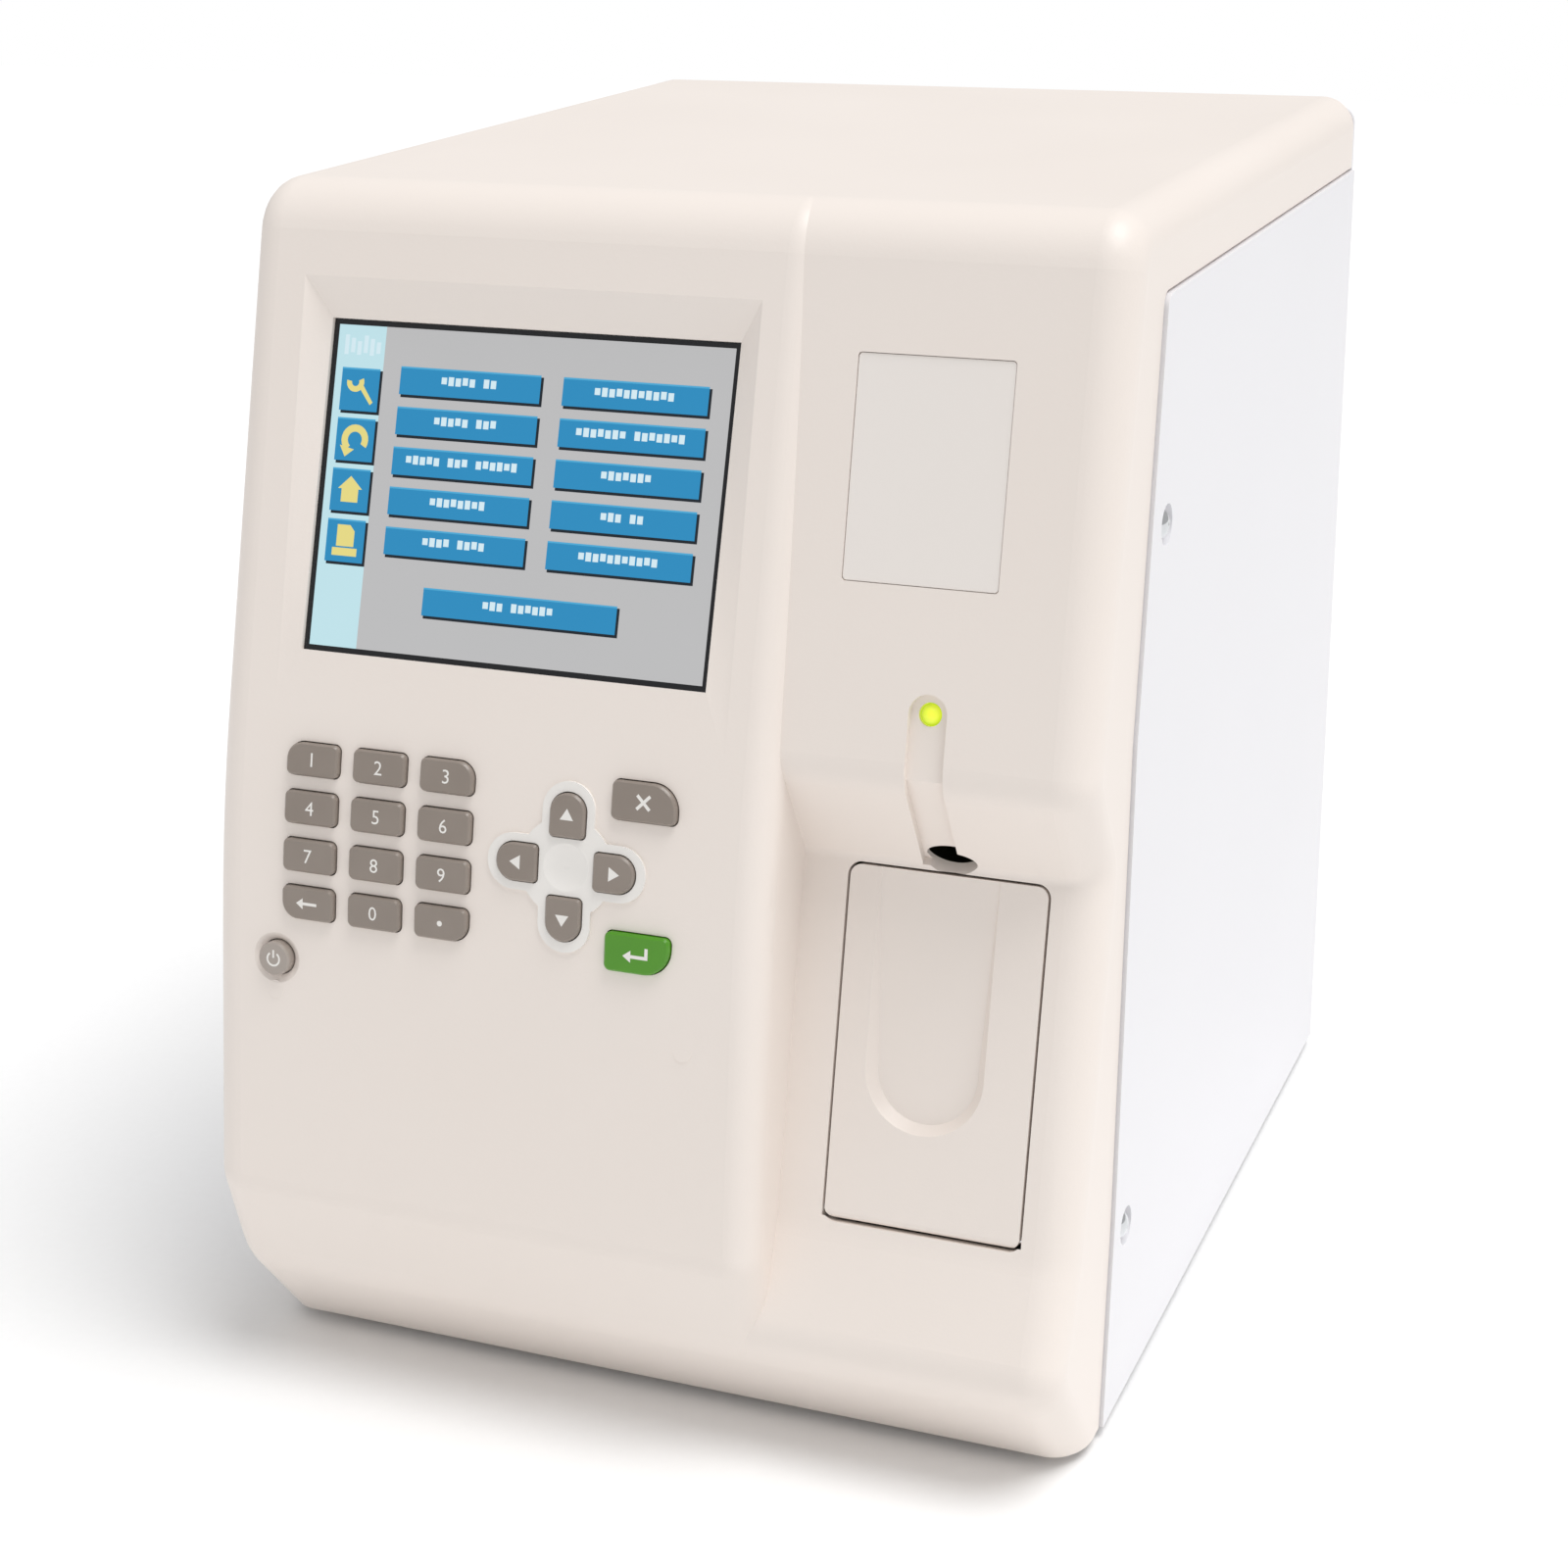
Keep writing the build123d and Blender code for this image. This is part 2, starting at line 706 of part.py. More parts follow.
def build_hood(keys):
    """Front and top moulding in one piece."""
    left_outer, right_outer = housing_halves(0)
    left_inner, right_inner = housing_halves(wall)
    envelope = left_outer + right_outer
    hood = envelope - left_inner - right_inner
    # Open rear and underside
    inner_half = hood_half - wall
    hood -= block((-inner_half, inner_half), (housing_rear - wall - 1, housing_rear + 1),
                  (base_z - 1, body_top - wall))
    hood -= block((-inner_half, inner_half), (pan_front_y, housing_rear + 1), (base_z - 1, base_z + wall + 1))
    # Display frame behind the recess
    bezel = sunk(lcd_frame, Rectangle(bezel_block_width, bezel_block_height),
                 -bezel_block_back, bezel_block_front)
    hood += bezel & envelope
    glass_room = Rectangle(glass_width + 2 * badge_gap, glass_height + 2 * badge_gap)
    hood -= sunk(lcd_frame, glass_room, -bezel_block_back - 1, 0)
    hood -= recess_cutter()
    hood -= sunk(lcd_frame, Rectangle(lcd_view_width, lcd_view_height), -1, lcd_lip + 1e-2)
    # Side panel seats
    for side in (-1, 1):
        seat = side_slab(panel_face(panel_gap, 0), (panel_inner, half_width + 1))
        window = side_slab(panel_face(0, panel_lip), (inner_half - 1, panel_inner + 1))
        if side < 0:
            seat = mirror(seat, Plane.YZ)
            window = mirror(window, Plane.YZ)
        hood -= seat
        hood -= window
        for y, z in side_screw_places:
            hood += crosswise(side_screw_boss, side_range(side, inner_half - side_screw_length, inner_half), y, z)
            hood -= crosswise(side_screw_shank, side_range(side, inner_half - side_screw_length - 1,
                                                           half_width + 1), y, z)
    # Openings for the keys
    for name, frame, face in keys:
        hood -= sunk(frame, grown(face, key_gap), -wall - 1, key_reach)
    standby = left_front_frame(standby_x, standby_z)
    dish = Cone(standby_radius + key_gap, standby_dish_radius, standby_dish_depth)
    hood -= standby * Pos(0, 0, -standby_dish_depth / 2 + 1e-2) * dish
    hood -= sunk(arrow_frame, cross_face(), -cross_depth, cross_depth) - bend_drum(-cross_sink)
    for x in (-keypad_post_x, keypad_post_x):
        for y in keypad_post_y:
            post = keypad_frame * Pos(x, y, -(board_depth + wall / 2) / 2) * Cylinder(
                keypad_post_radius, board_depth - wall / 2)
            hood += post
    # Badge recess, lamp, groove and notch
    badge_frame = right_front_frame(badge_x, badge_z)
    badge_room = rounded_box(badge_width, badge_height, (badge_corner,) * 4)
    hood -= sunk(badge_frame, badge_room, -badge_recess, 2)
    lamp_frame = right_front_frame(lamp_x, lamp_z)
    groove_face = Pos(0, -groove_length / 2) * SlotCenterToCenter(groove_length, 2 * groove_radius, rotation=90)
    hood -= sunk(lamp_frame, groove_face, -groove_depth, key_reach)
    brow_frame = undercut_frame(lamp_x)
    brow_length = math.dist(right_brow, door_head)
    lower_face = Pos(0, -brow_length / 2) * Rectangle(2 * groove_radius, brow_length)
    hood -= sunk(brow_frame, lower_face, -groove_depth, key_reach)
    hood -= sunk(lamp_frame, Circle(lamp_radius + 2 * running), -wall - 1, key_reach)
    notch_frame = undercut_frame(notch_x)
    drop = (right_brow[1] - notch_z) / math.cos(math.radians(brow_lean))
    notch_face = Pos(0, -drop) * Ellipse(notch_half_width, notch_half_height)
    hood -= sunk(notch_frame, notch_face, -2 * wall, key_reach)
    # Door opening and hinge lugs
    opening = rounded_box(door_width + 2 * door_gap, door_length + 2 * door_gap, (door_corner + door_gap,) * 4)
    lug_y = -door_length / 2 + door_thickness / 2
    for side in (-1, 1):
        lug_x = side * (door_width / 2 + door_gap + lug_length / 2)
        lug = Box(lug_length, lug_height, lug_depth - lug_inset)
        hood += door_frame * Pos(lug_x, lug_y, -(lug_depth + lug_inset) / 2) * lug
    hood -= sunk(door_frame, opening, -lug_depth - 1, key_reach)
    # Round room in which the door's lower edge turns
    swing = Rot(0, 90, 0) * Cylinder(door_thickness / 2 + door_swing_gap, door_width + 2 * door_gap)
    hood -= door_frame * Pos(0, lug_y, -door_thickness / 2) * swing
    hinge = Rot(0, 90, 0) * Cylinder(pin_radius + pin_clearance, door_width + 2 * (door_gap + pin_reach))
    hood -= door_frame * Pos(0, lug_y, -door_thickness / 2) * hinge
    return hood


def side_range(side, near, far):
    """Limits along X for one side, from a distance near the middle to one far out."""
    return (near, far) if side > 0 else (-far, -near)


def undercut_frame(x):
    """Frame at the top of the slope that runs from the brow back to the door."""
    return leaning_frame(x, right_brow[0], right_brow[1], brow_lean)


def cross_face():
    """Cross with round arms and a round middle."""
    straight = 2 * (cross_reach - cross_half)
    face = SlotCenterToCenter(straight, 2 * cross_half)
    face += SlotCenterToCenter(straight, 2 * cross_half, rotation=90)
    face += Circle(cross_centre)
    return face


arrow_frame = left_front_frame(arrow_x, arrow_z)


def build_cross(keys):
    """Raised surround of the arrow keys with a dished middle."""
    cross = sunk(arrow_frame, cross_face(), -cross_depth, cross_depth)
    cross = (cross & bend_drum(cross_rise)) - bend_drum(-cross_sink)
    ball = (cross_dish_radius ** 2 + cross_dish_depth ** 2) / (2 * cross_dish_depth)
    cross -= arrow_frame * Pos(0, 0, cross_rise + ball - cross_dish_depth) * Sphere(ball)
    for name, frame, face in keys:
        if name in ("key_up", "key_down", "key_left", "key_right"):
            cross -= sunk(frame, grown(face, key_gap), -key_reach, key_reach)
    return cross


def build_keypad_board(keys):
    """Circuit board with a switch under each key."""
    height = keypad_board_up + keypad_board_down
    middle = (keypad_board_up - keypad_board_down) / 2
    board = sunk(keypad_frame, Pos(0, middle) * Rectangle(keypad_board_width, height),
                 -board_depth - board_thickness, -board_depth)
    for name, frame, face in keys:
        top = -key_back - key_travel - dome_gap
        board += sunk(frame, Circle(dome_radius), top - dome_height, top)
    return board


def build_side_panel(side):
    """Flat side panel with round screw seats."""
    panel = side_slab(panel_face(0, 0), (panel_inner, half_width))
    for y, z in side_screw_places:
        seat_floor = half_width - side_screw_seat_depth
        panel -= crosswise(side_screw_seat, (seat_floor, half_width + 1), y, z)
        panel -= crosswise(side_screw_shank, (panel_inner - 1, half_width), y, z)
    if side < 0:
        panel = mirror(panel, Plane.YZ)
    return panel


def build_side_screws():
    """Dome-headed screws, two on each side."""
    screws = []
    for side in (-1, 1):
        for y, z in side_screw_places:
            seat_floor = half_width - side_screw_seat_depth
            dome = Pos(seat_floor, y, z) * Rot(0, 90, 0) * dome_head(side_screw_head, side_screw_head_height)
            screw = dome + crosswise(side_screw_shank, (seat_floor - side_screw_length, seat_floor), y, z)
            if side < 0:
                screw = mirror(screw, Plane.YZ)
            screws.append(screw)
    return Compound(screws)


def build_base_pan():
    """Bent sheet: floor, low side flanges and the upright wall of the main board."""
    pan_top = base_z + pan_thickness
    inner_half = hood_half - wall
    pan = block((-inner_half, inner_half), (pan_front_y, housing_rear), (base_z, pan_top))
    pan += block((-panel_inner, panel_inner), (pan_step_y, housing_rear), (base_z, pan_top))
    for side in (-1, 1):
        limits = side_range(side, panel_inner - pan_flange_thickness, panel_inner)
        pan += block(limits, (pan_step_y, housing_rear), (pan_top, pan_top + pan_flange))
    pan += block((board_wall_x, board_wall_x + board_wall_thickness), board_wall_y, (pan_top, board_wall_top))
    return pan


def build_feet():
    """Four round rubber feet, a little narrower at the floor."""
    foot = Cone(foot_tip_radius, foot_radius, foot_height)
    return Compound([Pos(x, y, foot_height / 2) * foot for x in (-foot_x, foot_x) for y in foot_y])


def scoop_cutter():
    """Finger scoop with a round lower end, shallower towards the top of the door."""
    end_y = (scoop_end_z - door_middle_z) / math.cos(math.radians(door_lean))
    top_y = door_length / 2
    reach = top_y - end_y
    mouth = Pos(0, end_y) * Circle(scoop_half_width)
    mouth += Pos(0, end_y + reach / 2) * Rectangle(2 * scoop_half_width, reach)
    cutter = extrude(mouth, amount=-scoop_depth - 1, taper=scoop_taper)
    floor = make_face(Polyline(
        (end_y - 2 * scoop_half_width, -scoop_depth), (end_y, -scoop_depth), (top_y, -scoop_fade), (top_y, 1),
        (end_y - 2 * scoop_half_width, 1), close=True))
    cutter &= side_slab(floor, (-scoop_half_width, scoop_half_width))
    return Pos(scoop_x - door_x, 0, 0) * cutter


def build_door():
    """Door with a finger scoop and a rounded lower edge on its hinge pin."""
    corner = door_corner
    face = rounded_box(door_width, door_length, (corner, corner, 0, 0))
    door = Pos(0, 0, -door_thickness) * extrude(face, amount=door_thickness)
    low = -door_length / 2
    round_radius = door_thickness / 2
    strip = Pos(0, low + round_radius / 2, -round_radius) * Box(door_width, round_radius, door_thickness)
    barrel = Pos(0, low + round_radius, -round_radius) * Rot(0, 90, 0) * Cylinder(round_radius, door_width)
    door = door - strip + barrel
    door &= Pos(0, 0, -door_thickness - 1) * extrude(rounded_box(door_width, door_length, (corner,) * 4),
                                                     amount=door_thickness + 2)
    door -= scoop_cutter()
    hole = Pos(0, low + round_radius, -round_radius) * Rot(0, 90, 0) * Cylinder(pin_radius, door_width + 2)
    return door_frame * (door - hole)


def build_hinge_pin():
    """Steel pin through the door's lower edge into the hood's lugs."""
    length = door_width + 2 * (door_gap + pin_reach - pin_clearance)
    pin = Rot(0, 90, 0) * Cylinder(pin_radius, length)
    return door_frame * Pos(0, -door_length / 2 + door_thickness / 2, -door_thickness / 2) * pin


# Sample compartment
def build_tray():
    """Open-topped liner whose front edges lie against the inside of the front wall."""
    inner_shift = (wall + tray_gap) / math.cos(math.radians(door_lean))
    front_low = door_plane_y(tray_floor_z + tray_wall) + inner_shift
    front_high = door_plane_y(tray_top_z) + inner_shift
    side = make_face(Polyline(
        (front_low, tray_floor_z), (front_low, tray_floor_z + tray_wall), (front_high, tray_top_z),
        (plate_y, tray_top_z), (plate_y, tray_floor_z), close=True))
    tray = side_slab(side, (door_x - tray_half_width, door_x + tray_half_width))
    room = tray_half_width - tray_wall
    hollow = block((door_x - room, door_x + room), (front_low - 1, plate_y - tray_wall),
                   (tray_floor_z + tray_wall, tray_top_z + 1))
    return tray - hollow


def build_tube_holder():
    """Cup for one blood tube, slotted at the front so that the tube can be seen."""
    floor = tray_floor_z + tray_wall
    half = holder_base / 2
    foot = block((door_x - half, door_x + half), (needle_y - half, needle_y + half),
                 (floor, floor + holder_base_height))
    holder = foot + upright(holder_radius, door_x, needle_y, (floor, holder_top))
    holder -= upright(holder_bore, door_x, needle_y, (holder_bore_floor, holder_top + 1))
    lead = Cone(holder_bore, holder_bore + holder_lead_in, holder_lead_in)
    holder -= Pos(door_x, needle_y, holder_top - holder_lead_in / 2) * lead
    holder -= block((door_x - holder_slot / 2, door_x + holder_slot / 2),
                    (needle_y - holder_radius - 1, needle_y), (holder_slot_floor, holder_top + 1))
    return holder


# Needle lift
def build_mounting_plate():
    """Upright sheet that carries the fluid parts, with a foot on the pan."""
    floor = base_z + pan_thickness
    plate = block(plate_x, (plate_y, plate_y + plate_thickness), (floor, plate_top))
    plate += block(plate_x, (plate_y, plate_y + plate_foot), (floor, floor + plate_thickness))
    half = plate_hole[0] / 2
    middle = sum(plate_x) / 2
    plate -= block((middle - half, middle + half), (plate_y - 1, plate_y + plate_thickness + 1),
                   (floor + plate_foot, floor + plate_foot + plate_hole[1]))
    return plate


def build_bracket(z_range):
    """Bracket that holds the two guide rods and one end of the lead screw."""
    bracket = block((door_x - bracket_half, door_x + bracket_half), (bracket_front_y, plate_y), z_range)
    for x in (door_x - rod_offset, door_x + rod_offset):
        bracket -= upright(rod_radius, x, rod_y, (z_range[0] - 1, z_range[1] + 1))
    bracket -= upright(journal_radius + running, door_x, rod_y, (z_range[0] - 1, z_range[1] + 1))
    return bracket


def build_guide_rods():
    """Two steel rods along which the carriage slides."""
    span = (lower_bracket_z[0], upper_bracket_z[1])
    return Compound([upright(rod_radius, x, rod_y, span) for x in (door_x - rod_offset, door_x + rod_offset)])


def build_lead_screw():
    """Lead screw with a journal at each end; the upper one reaches into the motor."""
    gap = running
    body = upright(screw_radius, door_x, rod_y, (lower_bracket_z[1] + gap, upper_bracket_z[0] - gap))
    return body + upright(journal_radius, door_x, rod_y, (lower_bracket_z[0], upper_bracket_z[1] + motor_height / 2))


def build_lift_motor():
    """Square stepper motor with cut corners on the upper bracket."""
    side = motor_side / 2
    low = upper_bracket_z[1]
    motor = block((door_x - side, door_x + side), (rod_y - side, rod_y + side), (low, low + motor_height))
    motor = chamfer(motor.edges().filter_by(Axis.Z), motor_chamfer)
    motor -= upright(journal_radius + running, door_x, rod_y, (low - 1, low + motor_height / 2 + 1))
    return motor


def build_carriage():
    """Block with bushes for the rods, a nut for the screw and a seat for the needle."""
    low, high = carriage_z
    carriage = block((door_x - carriage_half, door_x + carriage_half), (rod_y - carriage_notch, carriage_rear_y),
                     carriage_z)
    carriage += block((door_x - rinse_half, door_x + rinse_half), (carriage_front_y, rod_y), carriage_z)
    carriage = chamfer(carriage.edges().filter_by(Axis.Z), carriage_chamfer)
    for x in (door_x - rod_offset, door_x + rod_offset):
        carriage -= upright(rod_radius + running, x, rod_y, (low - 1, high + 1))
    carriage -= upright(screw_radius + running, door_x, rod_y, (low - 1, high + 1))
    carriage -= upright(needle_radius, door_x, needle_y, (low - 1, high + 1))
    return carriage


def build_needle():
    """Hollow-looking sampling needle with a conical tip and a hose end."""
    shaft = upright(needle_radius, door_x, needle_y, (needle_tip_z + needle_tip_length, needle_top_z))
    tip = Cone(needle_radius / 3, needle_radius, needle_tip_length)
    return shaft + Pos(door_x, needle_y, needle_tip_z + needle_tip_length / 2) * tip


def build_rinse_block():
    """Block that washes the needle as it passes, with two hose ports."""
    low, high = rinse_z
    rinse = block((door_x - rinse_half, door_x + rinse_half), (rinse_front_y, bracket_front_y), rinse_z)
    rinse -= upright(rinse_bore, door_x, needle_y, (low - 1, high + 1))
    middle = (low + high) / 2
    for side in (-1, 1):
        span = side_range(side, rinse_half, rinse_half + rinse_port_length)
        port = crosswise(rinse_port_radius, (span[0], span[1]), needle_y, middle)
        rinse += Pos(door_x, 0, 0) * port
    return rinse


# Fluid parts behind the plate
def build_syringe_block():
    """Clear block with two barrels."""
    body = block(syringe_x, syringe_y, syringe_z)
    middle = sum(syringe_y) / 2
    for x in barrel_x:
        body -= upright(barrel_radius, x, middle, (syringe_z[0] - 1, barrel_top))
    return body


def build_pistons():
    """Two pistons on one crossbar."""
    middle = sum(syringe_y) / 2
    left, right = barrel_x
    bar = block((left - crossbar_overhang, right + crossbar_overhang), (syringe_y[0] + crossbar_inset, syringe_y[1] - crossbar_inset),
                crossbar_z)
    for x in barrel_x:
        bar += upright(barrel_radius - running, x, middle, piston_z)
        bar += upright(piston_rod_radius, x, middle, (crossbar_z[0], piston_z[0]))
    return bar


def build_cups():
    """Two counting chambers moulded on one flange."""
    near = plate_y + plate_thickness
    flange = block(cup_flange_x, (near, near + cup_flange_thickness), cup_flange_z)
    low, high = cup_z
    centre_y = near + cup_flange_thickness + cup_radius - cup_wall / 2
    for x in cup_x:
        flange += upright(cup_radius, x, centre_y, (low, high))
        flange += upright(cup_spout_radius, x, centre_y, (low - cup_spout_length, low))
    for x in cup_x:
        flange -= upright(cup_radius - cup_wall, x, centre_y, (low + cup_wall, high + 1))
    return flange


def build_valves():
    """Row of solenoid valves on one manifold."""
    near = plate_y + plate_thickness
    bank = block(valve_block_x, (near, near + valve_block_depth), valve_block_z)
    left, right = valve_block_x
    pitch = (right - left) / valve_count
    middle = sum(valve_block_z) / 2
    for index in range(valve_count):
        x = left + pitch * (index + 0.5)
        bank += lengthwise(valve_radius, x, (near + valve_block_depth, near + valve_block_depth + valve_length), middle)
    return bank


pump_axis_x = sum(pump_x) / 2
pump_axis_z = (base_z + pan_thickness + pump_top) / 2


def build_pump_housing():
    """Pump head open at the front, with its motor behind."""
    near, far = pump_y
    housing = block(pump_x, pump_y, (base_z + pan_thickness, pump_top))
    housing += lengthwise(pump_motor_radius, pump_axis_x, (far, far + pump_motor_length), pump_axis_z)
    housing -= lengthwise(pump_bore, pump_axis_x, (near - 1, near + pump_bore_depth), pump_axis_z)
    housing -= lengthwise(pump_shaft_radius + running, pump_axis_x, (near, far + 1), pump_axis_z)
    return housing


def build_pump_rotor():
    """Rotor with three rollers on a shaft."""
    near, far = pump_y
    start = near + pump_side_gap
    stop = near + pump_bore_depth - pump_side_gap
    rotor = lengthwise(pump_hub_radius, pump_axis_x, (start, stop), pump_axis_z)
    rotor += lengthwise(pump_shaft_radius, pump_axis_x, (stop, far), pump_axis_z)
    for index in range(pump_roller_count):
        angle = math.radians(index * 360 / pump_roller_count + 90)
        x = pump_axis_x + pump_roller_ring * math.cos(angle)
        z = pump_axis_z + pump_roller_ring * math.sin(angle)
        rotor += lengthwise(pump_roller_radius, x, (start, stop), z)
    rotor += lengthwise(pump_roller_ring, pump_axis_x, (start, start + pump_disc), pump_axis_z)
    return rotor


# Electronics
def build_main_board():
    """Circuit board on four standoffs with its larger components."""
    inner = board_wall_x + board_wall_thickness
    near = inner + standoff_height
    face = near + board_thickness
    board = block((near, face), main_board_y, main_board_z)
    for y in (main_board_y[0] + standoff_inset, main_board_y[1] - standoff_inset):
        for z in (main_board_z[0] + standoff_inset, main_board_z[1] - standoff_inset):
            board += crosswise(standoff_radius, (inner, near), y, z)
    for y_range, z_range, height in board_parts:
        board += block((face, face + height), y_range, z_range)
    return board


def build_power_supply():
    """Closed metal case with cooling slots."""
    floor = base_z + pan_thickness
    case = block(supply_x, supply_y, (floor, floor + supply_height))
    middle = sum(supply_x) / 2
    first = sum(supply_y) / 2 - supply_slot_pitch * (supply_slot_count - 1) / 2
    top = floor + supply_height
    for index in range(supply_slot_count):
        y = first + index * supply_slot_pitch
        case -= block((middle - supply_slot_length / 2, middle + supply_slot_length / 2),
                      (y - supply_slot / 2, y + supply_slot / 2), (top - supply_slot_depth, top + 1))
    return case


def build_fan_frame():
    """Square fan frame with a round duct, three arms and the rotor's pin."""
    near = housing_rear - fan_depth
    half = fan_side / 2
    frame = block((fan_x - half, fan_x + half), (near, housing_rear), (fan_z - half, fan_z + half))
    frame -= lengthwise(fan_bore, fan_x, (near - 1, housing_rear + 1), fan_z)
    spider = (housing_rear - fan_spider, housing_rear)
    arms = lengthwise(fan_hub, fan_x, spider, fan_z)
    for index in range(3):
        arm = block((0, fan_bore + 1), (0, fan_spider), (-fan_arm / 2, fan_arm / 2))
        arms += Pos(fan_x, spider[0], fan_z) * Rot(0, index * 120 + 90, 0) * arm
    frame += arms
    frame += lengthwise(fan_pin, fan_x, (spider[0] - fan_rotor_length, spider[0]), fan_z)
    return frame


def build_fan_rotor():
    """Hub with pitched blades that turns on the frame's pin."""
    stop = housing_rear - fan_spider - fan_rotor_gap
    start = stop - fan_rotor_length
    rotor = Cylinder(fan_hub, fan_rotor_length)
    blade_length = fan_sweep - fan_hub + 2
    for index in range(fan_blades):
        blade = Rot(fan_blade_pitch, 0, 0) * Box(blade_length, fan_blade_chord, fan_blade_thickness)
        rotor += Rot(0, 0, index * 360 / fan_blades) * Pos(fan_hub - 2 + blade_length / 2, 0, 0) * blade
    rotor &= Cylinder(fan_sweep, fan_rotor_length)
    rotor -= Cylinder(fan_pin + running, fan_rotor_length + 2)
    return Pos(fan_x, (start + stop) / 2, fan_z) * Rot(90, 0, 0) * rotor


# Rear panel and its connectors
def build_rear_panel():
    """Sheet panel with a grille and cut-outs for the connectors."""
    height = rear_top - rear_bottom
    middle = (rear_top + rear_bottom) / 2
    face = rounded_box(2 * rear_half, height, (rear_corner,) * 4)
    outside = housing_rear + rear_plate
    panel = Plane(origin=(0, outside, middle), x_dir=(1, 0, 0), z_dir=(0, -1, 0)) * extrude(face, amount=rear_plate)
    cut = (housing_rear - 1, outside + 1)
    for index in range(grille_slots):
        rise = (index - (grille_slots - 1) / 2) * grille_pitch
        reach = math.sqrt((fan_bore - grille_edge) ** 2 - (abs(rise) + grille_slot / 2) ** 2)
        panel -= block((fan_x - reach, fan_x + reach), cut,
                       (fan_z + rise - grille_slot / 2, fan_z + rise + grille_slot / 2))
    panel -= block((inlet_x - inlet_width / 2, inlet_x + inlet_width / 2), cut,
                   (inlet_z - inlet_height / 2, inlet_z + inlet_height / 2))
    for x in port_x:
        panel -= block((x - port_width / 2, x + port_width / 2), cut,
                       (port_z - port_height / 2, port_z + port_height / 2))
    for x in fitting_x:
        panel -= lengthwise(fitting_body, x, cut, fitting_z)
    for x, z in rear_screw_places():
        panel -= lengthwise(rear_screw_shank, x, cut, z)
    return panel


def rear_screw_places():
    """Screws near the corners and half-way up the edges."""
    x = rear_half - rear_screw_inset
    low = rear_bottom + rear_screw_inset
    high = rear_top - rear_screw_inset
    return [(side * x, z) for side in (-1, 1) for z in (low, (low + high) / 2, high)]


def build_rear_screws():
    """Pan-headed screws of the rear panel."""
    outside = housing_rear + rear_plate
    screws = []
    for x, z in rear_screw_places():
        head = lengthwise(rear_screw_radius, x, (outside, outside + rear_screw_height), z)
        screws.append(head + lengthwise(rear_screw_shank, x, (outside - rear_screw_length, outside), z))
    return Compound(screws)


def build_power_inlet():
    """Mains inlet and switch housing in one moulding."""
    outside = housing_rear + rear_plate
    half_w = inlet_width / 2
    half_h = inlet_height / 2
    body = block((inlet_x - half_w, inlet_x + half_w), (outside - inlet_depth, outside),
                 (inlet_z - half_h, inlet_z + half_h))
    body += block((inlet_x - half_w - inlet_flange, inlet_x + half_w + inlet_flange), (outside, outside + inlet_proud),
                  (inlet_z - half_h - inlet_flange, inlet_z + half_h + inlet_flange))
    face = outside + inlet_proud
    body -= block((socket_x - socket_width / 2, socket_x + socket_width / 2), (face - socket_depth, face + 1),
                  (inlet_z - socket_height / 2, inlet_z + socket_height / 2))
    for index in (-1, 0, 1):
        x = socket_x + index * blade_pitch
        z = inlet_z + (blade_width if index == 0 else -blade_width)
        body += block((x - blade_width / 2, x + blade_width / 2), (face - socket_depth, face - blade_height),
                      (z - blade_height / 2, z + blade_height / 2))
    room_w = rocker_width / 2 + rocker_gap
    room_h = rocker_height / 2 + rocker_gap
    body -= block((rocker_x - room_w, rocker_x + room_w), (face - rocker_depth, face + 1),
                  (inlet_z - room_h, inlet_z + room_h))
    pin = crosswise(rocker_pin + running, (rocker_x - room_w - rocker_pin_seat, rocker_x + room_w + rocker_pin_seat), face - rocker_back,
                    inlet_z)
    return body - pin


def build_rocker():
    """Rocker with a hollow face, tipped about its cross pin to one of its two rests."""
    half = rocker_width / 2
    across = (-half, half)
    reach = rocker_height / 2
    rocker = crosswise(reach, across, 0, 0)
    rocker &= block(across, (-rocker_back, reach), (-reach, reach))
    rocker -= crosswise(rocker_hollow, (-reach, reach), rocker_back + rocker_hollow, 0)
    pin_half = half + rocker_gap + rocker_pin_reach
    rocker += crosswise(rocker_pin, (-pin_half, pin_half), 0, 0)
    pivot_y = housing_rear + rear_plate + inlet_proud - rocker_back
    return Pos(rocker_x, pivot_y, inlet_z) * Rot(rocker_tip, 0, 0) * rocker


def build_ports():
    """Three shielded data sockets on a small board."""
    outside = housing_rear + rear_plate
    left = port_x[0] - port_width
    right = port_x[-1] + port_width
    drop = port_z - port_height / 2
    group = block((left, right), (outside - port_depth, housing_rear), (drop - port_board_drop, drop))
    for x in port_x:
        half_w = port_width / 2
        half_h = port_height / 2
        group += block((x - half_w, x + half_w), (outside - port_depth, outside + port_proud),
                       (port_z - half_h, port_z + half_h))
        group -= block((x - half_w + port_shell, x + half_w - port_shell),
                       (outside - port_depth + port_shell, outside + port_proud + 1),
                       (port_z - half_h + port_shell, port_z + half_h - port_shell))
    return group


def fitting_profile():
    """Half section of one hose fitting, along its axis from the inside out."""
    outside = rear_plate
    barb_start = outside + fitting_nut_length
    barb_length = (fitting_reach - fitting_nut_length) / fitting_barb_count
    points = [(fitting_bore, -fitting_inner), (fitting_body, -fitting_inner), (fitting_body, outside),
              (fitting_nut, outside), (fitting_nut, barb_start), (fitting_neck, barb_start)]
    for index in range(fitting_barb_count):
        start = barb_start + index * barb_length
        points += [(fitting_barb, start + fitting_barb_step), (fitting_neck, start + barb_length)]
    points.append((fitting_bore, outside + fitting_reach))
    return make_face(Polyline(*points, close=True))


